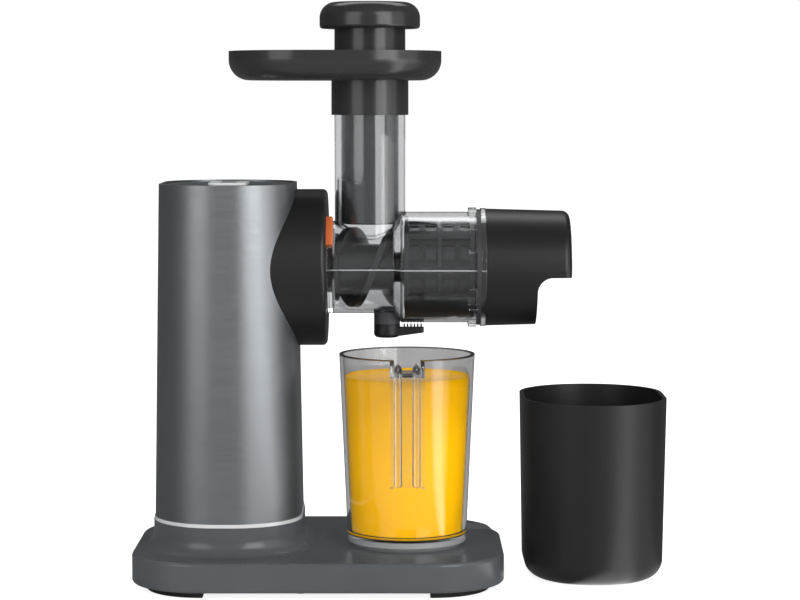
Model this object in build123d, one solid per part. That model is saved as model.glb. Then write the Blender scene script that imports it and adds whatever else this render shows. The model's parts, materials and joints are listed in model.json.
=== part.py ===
from build123d import *
import math
import os

# Cold press juicer, in millimetres. +Z is up and Z = 0 is the counter. The auger lies along X.
# The pieces are a tower on a base, a clear juicer drum with its auger, filter, tray and pusher,
# a juice jug on the base and a pulp container that stands beside it.

# ---- base
BASE_X = -53.3                # middle of the base, so that the origin is under the middle of the whole set
FOOT_HEIGHT = 4.5
FOOT_INSET = 9.0              # from the slab's outline to the outside of a foot
FOOT_WIDTH = 14.0
FOOT_LENGTH_X = 47.5          # from the ends of the slab to a foot's end
FOOT_LENGTH_Y = 42.0
FOOT_CHAMFER = 0.6
BASE_LENGTH = 237.5
BASE_DEPTH = 175.0
BASE_CORNER = 46.0
BASE_BACK_CORNER = 60.0
SLAB_HEIGHT = 18.8
BASE_TOP = FOOT_HEIGHT + SLAB_HEIGHT
BASE_WALL = 2.5
BASE_TOP_WALL = 3.0
BASE_TOP_ROUND = 2.0
BASE_BOTTOM_ROUND = 1.8
COVER_THICKNESS = 2.0
AIR_SLOTS = 6
AIR_SLOT_LENGTH = 44.0
AIR_SLOT_WIDTH = 3.0
RECESS_DEPTH = 2.7
RECESS_RADIUS = 50.0          # flat floor of the jug's recess
RECESS_SLOPE = 8.0
BOSS_RADIUS = 4.5
PILOT_RADIUS = 1.4
SCREW_HEAD_RADIUS = 3.2
SCREW_HEAD_HEIGHT = 1.6
SCREW_LENGTH = 10.0
SCREW_END_INSET = 21.0
SCREW_SIDE_INSET = 11.5
SCREW_FOOT_GAP = 4.3          # from a foot's end to the screw's head beside it
SCREW_MIDDLE = -10.0
INLET_RADIUS = 5.0            # the cord's inlet in the back of the slab
INLET_BORE = 3.4
INLET_Z = FOOT_HEIGHT + 8.6
INLET_FLANGE = 7.0
WIRE_HOLE_RADIUS = 12.0
WIRE_HOLE_OFFSET = 28.0

# ---- tower
AXIS_HEIGHT = 178.6           # from the slab's top to the auger's axis
AXIS_Z = BASE_TOP + AXIS_HEIGHT
TOWER_INSET = 60.1            # from the left end of the slab to the tower's axis
TOWER_X = BASE_X - BASE_LENGTH / 2 + TOWER_INSET
SKIRT_HEIGHT = 17.8
SKIRT_ROUND = 9.0
SKIRT_PROUD = 1.0             # how far the skirt stands out from the tower
TRIM_HEIGHT = 2.2
TRIM_PROUD = 0.5
TOWER_BOTTOM = BASE_TOP + SKIRT_HEIGHT + TRIM_HEIGHT
TOWER_ABOVE_AXIS = 54.9       # from the auger's axis to the tower's top
TOWER_TOP = AXIS_Z + TOWER_ABOVE_AXIS
TOWER_LOW = (94.2, 123.0, 42.0)      # width, depth and corner radius at the bottom
TOWER_HIGH = (86.7, 117.5, 39.0)     # the same at the top
TOWER_WALL = 2.0
PANEL_THICKNESS = 3.0
PANEL_RECESS = 1.0
SNAP_GAP = 0.2
BEZEL_WIDTH = 25.0
BEZEL_DEPTH = 38.0
BEZEL_CORNER = 6.0
BEZEL_PROUD = 0.3
BEZEL_ROUND = 0.5
BEZEL_SPIGOT = 3.0            # how far the frame's lower part stands in from its edge
BUTTON_RADIUS = 5.4
BUTTON_SPREAD = 8.5
BUTTON_TRAVEL = 1.5
BUTTON_PROUD = 0.6
BUTTON_FLANGE = 6.6
PLUNGER_RADIUS = 1.6
BOARD_THICKNESS = 1.6
BOARD_DROP = 5.0              # from the top panel's underside to the board's top
BOARD_LENGTH = 50.0
BOARD_DEPTH = 78.0
BOARD_OFFSET = 9.0            # from the tower's axis to the board's middle
BOARD_X = TOWER_X - BOARD_OFFSET
TRANSFORMER = (20.0, 26.0, 14.0)     # length, depth and height of the largest part on the board
CAPACITOR_RADIUS = 6.0
CAPACITOR_HEIGHT = 16.0
CAPACITOR_PLACE = (10.0, 9.0)        # from the board's left end and past half the transformer's depth
SWITCH_SIDE = 6.0
SWITCH_HEIGHT = 2.2
SWITCH_DOME_RADIUS = 1.7
STANDOFF_RADIUS = 2.5
STANDOFF_X = 22.0
STANDOFF_Y = 34.0

# ---- drive hub, in stations from its front face
HUB_REACH = 63.9              # from the tower's axis to the hub's face
HUB_FACE_X = TOWER_X + HUB_REACH
HUB_RADIUS = 50.7
HUB_WALL = 3.0
HUB_REAR = -42.0
HUB_FACE_THICKNESS = 6.0
HUB_EDGE_ROUND = 3.0
HUB_BOSS_RADIUS = 4.5
SOCKET_RADIUS = 34.5
SOCKET_REAR = -14.0
SOCKET_FLOOR = 4.0
SOCKET_WALL = 3.5
BAYONET_LUGS = 3
BAYONET_TWIST = 40.0
LUG_ARC = 30.0
LUG_GAP = 10.0                # how much wider than a lug the gap between two lips is, in degrees
LIP_THICKNESS = 5.6
LUG_REAR = -11.0
LUG_FRONT = -6.0
RUN_GAP = 0.3                 # between curved faces on pieces that turn on each other
SHAFT_FIT = 0.05              # radial clearance of a shaft in its bearing
LATCH_INNER = 39.1
LATCH_OUTER = 44.2
LATCH_ANGLE = 143.0           # degrees from +Y towards +Z
LATCH_ARC = 28.0
LATCH_PROUD = 4.4
LATCH_SHOULDER = 0.7
HUB_SCREW_CIRCLE = 42.0
HUB_SCREW_ANGLES = (10, 170, 230, 310)
HUB_SCREW_HEAD = 2.6
HUB_SCREW_DEPTH = 12.0
SEAL_THICKNESS = 2.0
SEAL_OUTER = 13.0
BEARING_WIDTH = 12.0
BEARING_RADIUS = 16.0

# ---- gear train
GEAR_MODULE = 1.25
PRESSURE_ANGLE = math.radians(25)
PINION_TEETH = 12
WHEEL_TEETH = 60
BACKLASH = 0.3
GEAR_CENTRES = GEAR_MODULE * (PINION_TEETH + WHEEL_TEETH) / 2
WHEEL_TIP = GEAR_MODULE * (WHEEL_TEETH + 2) / 2
PINION_TIP = GEAR_MODULE * (PINION_TEETH + 2) / 2
WHEEL_WIDTH = 7.5
WEB_DEPTH = 2.0
WEB_RIM = 32.0
WEB_HUB = 14.0
GEAR_GAP = 1.0                # between a gear and what stands beside it
MIDDLE_Y = 4.2                # how far the middle gear stands behind the other two
MOTOR_DROP = 2 * math.sqrt(GEAR_CENTRES ** 2 - MIDDLE_Y ** 2)
MOTOR_Z = AXIS_Z - MOTOR_DROP
MIDDLE_Z = AXIS_Z - MOTOR_DROP / 2
CASE_WALL = 3.0
CASE_GAP = 1.25
CASE_HALF_WIDTH = MIDDLE_Y + WHEEL_TIP + CASE_GAP + CASE_WALL
CASE_BOTTOM = MOTOR_Z - PINION_TIP - CASE_GAP - CASE_WALL
CASE_TOP = AXIS_Z + WHEEL_TIP + CASE_GAP + CASE_WALL
CASE_CORNER = 18.0
CASE_COVER = 4.0
COVER_STATIONS = (HUB_REAR - CASE_COVER, HUB_REAR)
OUTPUT_STATIONS = (COVER_STATIONS[0] - GEAR_GAP - WHEEL_WIDTH, COVER_STATIONS[0] - GEAR_GAP)
MOTOR_GEAR_STATIONS = (OUTPUT_STATIONS[0] - 1.5 * GEAR_GAP - WHEEL_WIDTH, OUTPUT_STATIONS[0] - 1.5 * GEAR_GAP)
CASE_REAR = MOTOR_GEAR_STATIONS[0] - GEAR_GAP - CASE_WALL
SHAFT_RADIUS = 9.0
SHAFT_TAIL_RADIUS = 5.0
SHAFT_HEAD_RADIUS = 12.0
SHAFT_HEAD_FRONT = -3.0
BUSH_WALL = 2.0
AXLE_RADIUS = 3.0

# ---- motor
MOTOR_RADIUS = 26.0
MOTOR_WALL = 2.0
MOTOR_LENGTH = 38.0
MOTOR_REAR = CASE_REAR - MOTOR_LENGTH
END_FRAME_THICKNESS = 4.0
MAGNET_THICKNESS = 7.0
MAGNET_HALF_GAP = 5.0
ROTOR_RADIUS = 16.0
ROTOR_LENGTH = 19.0
ROTOR_STATIONS = (CASE_REAR - END_FRAME_THICKNESS - 3.0 - ROTOR_LENGTH, CASE_REAR - END_FRAME_THICKNESS - 3.0)
ROTOR_SLOTS = 7
ROTOR_SLOT_WIDTH = 3.0
ROTOR_SLOT_FLOOR = 9.0
MOTOR_SHAFT_RADIUS = 3.0
COMMUTATOR_RADIUS = 7.0
COMMUTATOR_LENGTH = 7.0
COMMUTATOR_STATIONS = (ROTOR_STATIONS[0] - 1.0 - COMMUTATOR_LENGTH, ROTOR_STATIONS[0] - 1.0)
BRUSH_SIDE = 6.0
CRADLE_THICKNESS = 4.0
CRADLE_WALL = 5.0
CRADLE_FLANGE = 6.0

# ---- juicer drum, in stations
CHAMBER_RADIUS = 30.0
CLEAR_WALL = 2.5
COLLAR_REAR = -12.0
COLLAR_RADIUS = 31.0
COLLAR_WALL = 4.0
CHAMBER_END = 43.2
DRUM_START = 48.0
DRUM_RADIUS = 36.0
DRUM_FLANGE = 99.0
DRUM_END = 102.3
FLANGE_RADIUS = 38.4
REAR_WALL = (0.5, 3.5)
SEAL_RADIUS = 11.0
CHUTE_STATION = 27.6
CHUTE_RADIUS = 22.9
CHUTE_HEIGHT = 125.3          # from the auger's axis to the chute's top
CHUTE_TOP = AXIS_Z + CHUTE_HEIGHT
FRONT_LUGS = 6
FRONT_LUG_ARC = 24.0
FRONT_LUG_STATIONS = (91.2, 96.4)
FRONT_LUG_RADIUS = 38.8
GASKET_RADIUS = 37.6
SPOUT_STATION = 38.6
NOZZLE_RADIUS = 6.5
NOZZLE_WALL = 2.0
NOZZLE_FLOOR = 1.5
NOZZLE_REACH = 42.7           # from the axis down to the nozzle's mouth
NOZZLE_BOTTOM = AXIS_Z - NOZZLE_REACH

# ---- filter and auger, in stations
FILTER_RADIUS = 29.8
FILTER_STATIONS = (50.0, 95.0)
CAGE_THICKNESS = 1.5
CAGE_RIBS = 8
CAGE_RIB_ARC = 9.0            # degrees of the cage that each rib takes
CAGE_RING = 3.0
CAGE_MIDDLE = 2.4
GUTTER_RADIUS = 32.9          # the dark gutter under the cage that leads juice to the spout
GUTTER_ARC = 120.0
GUTTER_SLOPE = (65.0, 84.0)   # stations between which its floor is cut away in a slope
GUTTER_RISE = 3.4
MESH_THICKNESS = 0.5
MESH_ROWS = 4
MESH_ARC = 20.0
MESH_BRIDGE = 4.4
HEX_FLATS = 14.0
JOURNAL_RADIUS = 8.0
AUGER_CORE = 15.0
AUGER_WAIST = 9.8
AUGER_BACK = 5.0              # where the plate behind the feed flights starts
AUGER_BACK_RADIUS = 22.0
AUGER_PLATE = 2.5
WAIST_STATIONS = (44.4, 47.7)
FLIGHT_RADIUS = 26.0
FEED_PITCH = 58.0
FEED_STARTS = 2
FEED_FIRST = 79.0
PRESS_PITCH = 15.0
PRESS_END_RADIUS = 23.0
PRESS_LAND = 8.0              # length of the full-width end of the press section
PRESS_FLIGHT_RADIUS = 27.0
PRESS_THICKNESS = 2.2
FLIGHT_THICKNESS = 4.0

# ---- end cap, in stations, with heights from the auger's axis
CAP_RADIUS = 38.0
CAP_END_RADIUS = 36.7
CAP_END = 158.2
CAP_CROWN = 1.6               # how far the end face stands out in the middle
CAP_FLAT = 12.0               # radius of the flat in the middle of the end face
CAP_WALL = 2.5
CAP_END_ROUND = 6.0
CAP_SPIGOT = 3.5
HOOD_LIP = -4.6
HOOD_START = 134.7
HOOD_ARC_START = (134.9, -13.6)
HOOD_ARC_MIDDLE = (137.3, -7.9)
HOOD_ARC_END = (144.0, HOOD_LIP)
MOUTH_START = 137.5
MOUTH_HALF_WIDTH = 27.4
BUSH_SPOKES = 3
SPOKE_WIDTH = 5.0

# ---- drip stop and spout
STOP_RADIUS = 8.5
STOP_BOTTOM = NOZZLE_BOTTOM - 3.0
STOP_TOP = AXIS_Z - DRUM_RADIUS - 1.2
STOP_HOLE = 2.2
STOP_HOLE_OFFSET = 2.2
STOP_ARM_END = 62.6
STOP_ARM_WIDTH = 10.0
STOP_ARM_TOP = STOP_BOTTOM + 6.4
STOP_ARM_RISE = 3.3           # how much the arm's underside climbs from the cup to its end
STOP_RIBS = 6
STOP_RIB_PITCH = 2.2
STOP_RIB_THICKNESS = 1.0

# ---- feed tray and pusher
TRAY_LENGTH = 136.8
TRAY_DEPTH = 110.0
TRAY_CORNER = 50.0
TRAY_REACH = 22.3             # from the chute's axis to the middle of the tray
TRAY_HEIGHT = 18.7
TRAY_WALL = 2.2
TRAY_ROUND = 13.0
TRAY_SEAT = 4.5               # how far the chute reaches above the tray's underside
TRAY_BOTTOM = CHUTE_TOP - TRAY_SEAT
TRAY_TOP = TRAY_BOTTOM + TRAY_HEIGHT
SLEEVE_RADIUS = 24.9
SLEEVE_LENGTH = 22.2
SLEEVE_BOTTOM = TRAY_BOTTOM - SLEEVE_LENGTH
LEDGE_THICKNESS = 2.0
PUSHER_RADIUS = 18.6
PUSHER_LENGTH = 99.5
PUSHER_WALL = 2.2
PUSHER_SEAT = CHUTE_TOP + 2 * RUN_GAP + LEDGE_THICKNESS
PUSHER_BOTTOM = PUSHER_SEAT - PUSHER_LENGTH
SHOULDER_HEIGHT = 26.1
SHOULDER_TOP = PUSHER_SEAT + SHOULDER_HEIGHT
KNOB_HEIGHT = 17.0
CAP_TOP = SHOULDER_TOP + KNOB_HEIGHT
KNOB_RADIUS = 32.4
KNOB_ROUND = 10.0
PLUG_DEPTH = 6.0
PLUG_WALL = 2.5

# ---- jug
JUG_OFFSET = 13.0             # from the spout to the middle of the jug
JUG_X = HUB_FACE_X + SPOUT_STATION + JUG_OFFSET
JUG_FLOOR = BASE_TOP - RECESS_DEPTH
JUG_HEIGHT = 124.9
JUG_TOP = JUG_FLOOR + JUG_HEIGHT
JUG_FOOT_RADIUS = 38.8
JUG_RIM_RADIUS = 44.2
JUG_WALL = 2.6
JUG_BASE = 7.0
JUG_FOOT_ROUND = 3.0
HANDLE_WIDTH = 22.0
HANDLE_THICKNESS = 2.6
HANDLE_DEPTH = 8.5            # depth of the handle's channel
HANDLE_DROP = 0.6             # from the jug's rim down to the handle's top
HANDLE_REACH = 24.0           # from the jug's rim to the outside of the handle
HANDLE_LENGTH = 77.7
HANDLE_BEND = 9.0

# ---- pulp container
CONTAINER_GAP = 12.7          # from the slab's end to the container's rim
CONTAINER_Y = 8.5
CONTAINER_LOW = (90.0, 115.0, 44.0)
CONTAINER_HIGH = (94.0, 123.0, 46.0)
CONTAINER_HEIGHT = 117.4
CONTAINER_WALL = 2.5
CONTAINER_ROUND = 12.0
CONTAINER_X = BASE_X + BASE_LENGTH / 2 + CONTAINER_GAP + CONTAINER_HIGH[0] / 2


# ---------------------------------------------------------------- helpers
def turned(points):
    """A solid turned about the auger's axis from (station, radius) points."""
    profile = make_face(Polyline(*points, close=True))
    return Pos(HUB_FACE_X, 0, AXIS_Z) * revolve(profile, Axis.X)


def spun(points, x, y=0.0):
    """A solid turned about a vertical axis from (radius, height) points."""
    profile = Plane.XZ * make_face(Polyline(*points, close=True))
    return Pos(x, y, 0) * revolve(profile, Axis.Z)


def rod(radius, stations, y=0.0, z=AXIS_Z):
    """A round bar along X between two stations."""
    start, end = stations
    middle = HUB_FACE_X + (start + end) / 2
    return Pos(middle, y, z) * Rot(0, 90, 0) * Cylinder(radius, end - start)


def ring(outer, inner, stations, y=0.0, z=AXIS_Z):
    """A ring along X between two stations."""
    return rod(outer, stations, y, z) - rod(inner, stations, y, z)


def post(radius, low, high, x, y=0.0):
    """A round bar that stands from one height to another."""
    return Pos(x, y, (low + high) / 2) * Cylinder(radius, high - low)


def block(x_range, y_range, z_range):
    """A plain block between three pairs of limits."""
    spans = (x_range, y_range, z_range)
    middle = [(low + high) / 2 for low, high in spans]
    return Pos(*middle) * Box(*[high - low for low, high in spans])


def rounded_block(length, depth, corner, low, high, x, y=0.0):
    """An upright block with rounded corners."""
    return extrude(Pos(x, y, low) * RectangleRounded(length, depth, corner), high - low)


def tapered_block(low_size, high_size, low, high, x, y=0.0, inset=0.0):
    """An upright block whose rounded outline changes from the bottom to the top."""
    outlines = [
        Pos(x, y, z) * RectangleRounded(length - 2 * inset, depth - 2 * inset, corner - inset)
        for (length, depth, corner), z in ((low_size, low), (high_size, high))
    ]
    return loft(outlines)


def bar(face, stations, y=0.0, z=AXIS_Z):
    """A face drawn in Y and Z, drawn out along X between two stations."""
    start, end = stations
    return Pos(HUB_FACE_X + start, y, z) * extrude(Plane.YZ * face, end - start)


def sector(stations, radius, middle, width):
    """A wedge of a round bar about the auger's axis, for cutting arcs out of rings."""
    half = math.radians(width / 2)
    centre = math.radians(middle)
    reach = radius / math.cos(half)
    corners = [(reach * math.cos(centre + side), reach * math.sin(centre + side)) for side in (-half, half)]
    return bar(make_face(Polyline((0, 0), *corners, close=True)), stations)


def tower_outline(height):
    """The tower's length, depth and corner radius at one height."""
    share = (height - TOWER_BOTTOM) / (TOWER_TOP - TOWER_BOTTOM)
    return tuple(low + share * (high - low) for low, high in zip(TOWER_LOW, TOWER_HIGH))


def save(name, shape):
    """Write one node's STEP file."""
    shape.label = name
    export_step(shape, os.path.join("parts", name + ".step"))


# ---------------------------------------------------------------- base
def base_outline(inset):
    """The slab's outline from above, with wider corners at the back."""
    face = Rectangle(BASE_LENGTH - 2 * inset, BASE_DEPTH - 2 * inset)
    face = fillet(face.vertices().group_by(Axis.Y)[0], BASE_CORNER - inset)
    return fillet(face.vertices().group_by(Axis.Y)[-1], BASE_BACK_CORNER - inset)


def base_slab(inset, low, high):
    """The slab's form between two heights."""
    return extrude(Pos(BASE_X, 0, low) * base_outline(inset), high - low)


def jug_recess(grow, floor):
    """The shallow channel that the jug stands in, open at the base's right end."""
    radius = RECESS_RADIUS + grow
    top_radius = radius + RECESS_SLOPE * (BASE_TOP - floor) / RECESS_DEPTH
    end = BASE_X + BASE_LENGTH
    round_end = spun([(0, floor), (radius, floor), (top_radius, BASE_TOP), (0, BASE_TOP)], JUG_X)
    section = Polyline(
        (-radius, floor), (radius, floor), (top_radius, BASE_TOP), (-top_radius, BASE_TOP), close=True
    )
    channel = extrude(Plane.YZ.offset(JUG_X) * make_face(section), end - JUG_X)
    return round_end + channel


def base_housing():
    """The slab and the skirt that carries the tower, open underneath."""
    length, depth, corner = (value + 2 * SKIRT_PROUD for value in TOWER_LOW)
    slab = base_slab(0, FOOT_HEIGHT, BASE_TOP)
    slab = fillet(slab.edges().group_by(Axis.Z)[-1], BASE_TOP_ROUND)
    slab = fillet(slab.edges().group_by(Axis.Z)[0], BASE_BOTTOM_ROUND)
    skirt_top = TOWER_BOTTOM - TRIM_HEIGHT
    body = slab + rounded_block(length, depth, corner, BASE_TOP - 1, skirt_top, TOWER_X)
    seam = [
        edge for edge in body.edges().filter_by(lambda e: abs(e.center().Z - BASE_TOP) < 0.01)
        if abs(edge.center().X - TOWER_X) <= length / 2 + 0.1 and abs(edge.center().Y) <= depth / 2 + 0.1
    ]
    body = fillet(seam, SKIRT_ROUND)
    body -= base_cavity()
    body += base_bosses()
    body -= jug_recess(0, BASE_TOP - RECESS_DEPTH)
    wall = TOWER_WALL + SKIRT_PROUD
    body -= rounded_block(length - 2 * wall, depth - 2 * wall, corner - wall, BASE_TOP, skirt_top, TOWER_X)
    body -= post(WIRE_HOLE_RADIUS, FOOT_HEIGHT, BASE_TOP, TOWER_X + WIRE_HOLE_OFFSET)
    return body - cord_hole()


def base_cavity():
    """The room under the slab's top wall, with a step for the bottom cover."""
    cavity = base_slab(BASE_WALL, FOOT_HEIGHT, BASE_TOP - BASE_TOP_WALL)
    roof = jug_recess(BASE_TOP_WALL, BASE_TOP - RECESS_DEPTH - BASE_TOP_WALL)
    return cavity - (roof - base_slab(BASE_WALL, 0, FOOT_HEIGHT + COVER_THICKNESS))


def base_screw_places():
    """X and Y of the screws that hold the bottom cover."""
    end = BASE_LENGTH / 2 - SCREW_END_INSET
    side = BASE_DEPTH / 2 - SCREW_SIDE_INSET
    spread = BASE_DEPTH / 2 - FOOT_LENGTH_Y - SCREW_FOOT_GAP - SCREW_HEAD_RADIUS
    places = [(x, y) for x in (-end, end) for y in (-spread, spread)]
    places += [(SCREW_MIDDLE, -side), (SCREW_MIDDLE, side)]
    return [(BASE_X + x, y) for x, y in places]


def base_bosses():
    """Posts under the top wall for the cover's screws, each with its pilot hole."""
    low = FOOT_HEIGHT + COVER_THICKNESS
    high = BASE_TOP - BASE_TOP_WALL / 2
    bosses = Part()
    for x, y in base_screw_places():
        bosses += post(BOSS_RADIUS, low, high, x, y) - post(PILOT_RADIUS, low, low + SCREW_LENGTH, x, y)
    return bosses


def cord_hole():
    """The round hole in the back of the slab for the cord's grommet."""
    back = BASE_DEPTH / 2
    return Pos(TOWER_X, back, INLET_Z) * Rot(90, 0, 0) * Cylinder(INLET_RADIUS, 4 * BASE_WALL)


def cord_grommet():
    """The rubber inlet that the cord would pass through, a flanged tube."""
    barb = INLET_RADIUS + 0.8
    wall = -BASE_WALL - SNAP_GAP
    profile = Polyline(
        (INLET_BORE, wall - 4), (barb, wall - 4), (barb, wall - 1.5), (INLET_RADIUS, wall), (INLET_RADIUS, 0),
        (INLET_FLANGE, 0), (INLET_FLANGE - 1.5, 3), (INLET_BORE, 3), close=True,
    )
    tube = revolve(Plane.XZ * make_face(profile), Axis.Z)
    return Pos(TOWER_X, BASE_DEPTH / 2, INLET_Z) * Rot(-90, 0, 0) * tube


def bottom_cover():
    """The plate that closes the base from below, with slots for the motor's air."""
    high = FOOT_HEIGHT + COVER_THICKNESS
    plate = base_slab(SNAP_GAP + BASE_WALL, FOOT_HEIGHT, high)
    for x, y in base_screw_places():
        plate -= post(PILOT_RADIUS + 2 * SNAP_GAP, FOOT_HEIGHT, high, x, y)
    slot = extrude(SlotOverall(AIR_SLOT_LENGTH, AIR_SLOT_WIDTH), 2 * high)
    for spot in GridLocations(0, 2.7 * AIR_SLOT_WIDTH, 1, AIR_SLOTS):
        plate -= Pos(TOWER_X + BOSS_RADIUS, 0, 0) * spot * slot
    return plate


def base_screws():
    """The cover's screws."""
    screws = Part()
    low = FOOT_HEIGHT
    for x, y in base_screw_places():
        head = post(SCREW_HEAD_RADIUS, low - SCREW_HEAD_HEIGHT, low, x, y)
        screws += head + post(PILOT_RADIUS, low, low + SCREW_LENGTH, x, y)
    return screws


def base_feet():
    """Four rubber pads that follow the slab's rounded corners."""
    strip = base_slab(FOOT_INSET, 0, FOOT_HEIGHT) - base_slab(FOOT_INSET + FOOT_WIDTH, 0, FOOT_HEIGHT)
    strip = chamfer(strip.edges().group_by(Axis.Z)[0], FOOT_CHAMFER)
    spread = (BASE_LENGTH - FOOT_LENGTH_X, BASE_DEPTH - FOOT_LENGTH_Y)
    feet = Part()
    for spot in GridLocations(*spread, 2, 2):
        feet += strip & (Pos(BASE_X, 0, 0) * spot * Box(FOOT_LENGTH_X, FOOT_LENGTH_Y, 2 * FOOT_HEIGHT))
    return feet


# ---------------------------------------------------------------- tower
def trim_ring():
    """The bright ring between the skirt and the tower."""
    length, depth, corner = TOWER_LOW
    low, high = TOWER_BOTTOM - TRIM_HEIGHT, TOWER_BOTTOM
    outer = rounded_block(
        length + 2 * TRIM_PROUD, depth + 2 * TRIM_PROUD, corner + TRIM_PROUD, low, high, TOWER_X
    )
    wall = TOWER_WALL
    return outer - rounded_block(length - 2 * wall, depth - 2 * wall, corner - wall, low, high, TOWER_X)


def tower_sleeve():
    """The tapered metal sleeve, open for the hub on its right side."""
    sleeve = tapered_block(TOWER_LOW, TOWER_HIGH, TOWER_BOTTOM, TOWER_TOP, TOWER_X)
    sleeve -= tapered_block(TOWER_LOW, TOWER_HIGH, TOWER_BOTTOM, TOWER_TOP, TOWER_X, inset=TOWER_WALL)
    return sleeve - rod(HUB_RADIUS + SNAP_GAP, (TOWER_X - HUB_FACE_X, 10.0))


def top_panel():
    """The panel in the tower's top, with the bezel's opening and posts for the board."""
    high = TOWER_TOP - PANEL_RECESS
    low = high - PANEL_THICKNESS
    gap = TOWER_WALL + SNAP_GAP
    length, depth, corner = tower_outline(low)
    panel = rounded_block(length - 2 * gap - 0.2, depth - 2 * gap - 0.2, corner - gap, low, high, TOWER_X)
    inner = BEZEL_SPIGOT
    panel -= rounded_block(
        BEZEL_WIDTH - 2 * inner, BEZEL_DEPTH - 2 * inner, BEZEL_CORNER - inner, low, high, TOWER_X
    )
    for spot in GridLocations(2 * STANDOFF_X, 2 * STANDOFF_Y, 2, 2):
        panel += Pos(BOARD_X, 0, low - BOARD_DROP / 2) * spot * Cylinder(STANDOFF_RADIUS, BOARD_DROP)
    return panel


def button_bezel():
    """The raised white frame round the two buttons."""
    low = TOWER_TOP - PANEL_RECESS
    high = TOWER_TOP + BEZEL_PROUD
    frame = rounded_block(BEZEL_WIDTH, BEZEL_DEPTH, BEZEL_CORNER, low, high, TOWER_X)
    frame = fillet(frame.edges().group_by(Axis.Z)[-1], BEZEL_ROUND)
    inner = BEZEL_SPIGOT + SNAP_GAP
    size = (BEZEL_WIDTH - 2 * inner, BEZEL_DEPTH - 2 * inner, BEZEL_CORNER - inner)
    frame += rounded_block(*size, low - PANEL_THICKNESS, low, TOWER_X)
    for y in (-BUTTON_SPREAD, BUTTON_SPREAD):
        frame -= post(BUTTON_RADIUS + RUN_GAP, low - PANEL_THICKNESS, high, TOWER_X, y)
    return frame


def push_button(side):
    """One round button, with the flange that keeps it in the bezel and a short plunger."""
    under = TOWER_TOP - PANEL_RECESS - PANEL_THICKNESS - 0.1
    y = side * BUTTON_SPREAD
    button = post(BUTTON_RADIUS, under, TOWER_TOP + BUTTON_PROUD, TOWER_X, y)
    button = fillet(button.edges().group_by(Axis.Z)[-1], 1.0)
    button += post(BUTTON_FLANGE, under - 0.7, under, TOWER_X, y)
    return button + post(PLUNGER_RADIUS, switch_top() + BUTTON_TRAVEL + 0.1, under, TOWER_X, y)


def board_top():
    """The height of the control board's upper face."""
    return TOWER_TOP - PANEL_RECESS - PANEL_THICKNESS - BOARD_DROP


def switch_top():
    """The height of the switches' domes."""
    return board_top() + SWITCH_HEIGHT


def control_board():
    """The printed board under the top panel, with its larger components below it."""
    top = board_top()
    low = top - BOARD_THICKNESS
    left = BOARD_X - BOARD_LENGTH / 2
    board = block((left, left + BOARD_LENGTH), (-BOARD_DEPTH / 2, BOARD_DEPTH / 2), (low, top))
    length, depth, height = TRANSFORMER
    board += block((left + 2, left + 2 + length), (-depth / 2 - 3, depth / 2 - 3), (low - height, low))
    along, across = CAPACITOR_PLACE
    return board + post(CAPACITOR_RADIUS, low - CAPACITOR_HEIGHT, low, left + along, depth / 2 + across)


def button_switches():
    """The two switches under the buttons."""
    switches = Part()
    top = board_top()
    for y in (-BUTTON_SPREAD, BUTTON_SPREAD):
        half = SWITCH_SIDE / 2
        body = block((TOWER_X - half, TOWER_X + half), (y - half, y + half), (top, top + 0.6 * SWITCH_HEIGHT))
        switches += body + post(SWITCH_DOME_RADIUS, top, switch_top(), TOWER_X, y)
    return switches


# ---------------------------------------------------------------- hub
def bayonet_lip():
    """Arcs in front of the socket that hold the drum's lugs back."""
    stations = (-LIP_THICKNESS, 0)
    lip = ring(SOCKET_RADIUS, COLLAR_RADIUS + RUN_GAP, stations)
    for index in range(BAYONET_LUGS):
        middle = lug_angle(index) - BAYONET_TWIST
        lip -= sector(stations, SOCKET_RADIUS, middle, LUG_ARC + LUG_GAP)
    return lip


def lug_angle(index):
    """Where a lug of the drum stands when it is locked, in degrees from +Y towards +Z."""
    return 90.0 + index * 360.0 / BAYONET_LUGS


def drive_hub():
    """The round hub on the tower's side, with the drum's socket and the output bearing."""
    hub = rod(HUB_RADIUS, (HUB_REAR, 0))
    hub = fillet(hub.edges().group_by(Axis.X)[-1], HUB_EDGE_ROUND)
    hub -= rod(HUB_RADIUS - HUB_WALL, (HUB_REAR, -HUB_FACE_THICKNESS))
    bearing_rear, bearing_front = bearing_stations()
    hub += rod(SOCKET_RADIUS + SOCKET_WALL, (SOCKET_REAR - SOCKET_FLOOR, -HUB_FACE_THICKNESS))
    hub += rod(BEARING_RADIUS + SOCKET_FLOOR, (bearing_rear, SOCKET_REAR))
    hub -= rod(SOCKET_RADIUS, (SOCKET_REAR, 0))
    hub -= rod(BEARING_RADIUS, (bearing_rear, bearing_front))
    hub -= rod(SEAL_OUTER, (bearing_front, SOCKET_REAR))
    for y, z in hub_screw_places():
        hub += rod(HUB_BOSS_RADIUS, (HUB_REAR, -HUB_FACE_THICKNESS), y, z)
        hub -= rod(PILOT_RADIUS, (HUB_REAR, HUB_REAR + HUB_SCREW_DEPTH), y, z)
    hub -= latch_slot()
    return hub + bayonet_lip()


def bearing_stations():
    """Where the output bearing starts and ends, behind the shaft's seal."""
    front = SOCKET_REAR - SEAL_THICKNESS
    return (front - BEARING_WIDTH, front)


def hub_screw_places():
    """Y and Z of the four screws that hold the gearbox to the hub."""
    angles = [math.radians(degrees) for degrees in HUB_SCREW_ANGLES]
    reach = HUB_SCREW_CIRCLE
    return [(reach * math.cos(a), AXIS_Z + reach * math.sin(a)) for a in angles]


def latch_arc(grow, stations):
    """The release button's curved outline, between two stations."""
    whole = ring(LATCH_OUTER + grow, LATCH_INNER - grow, stations)
    spread = LATCH_ARC + 2 * math.degrees(grow / LATCH_OUTER)
    return whole & sector(stations, LATCH_OUTER + 4, LATCH_ANGLE, spread)


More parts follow.
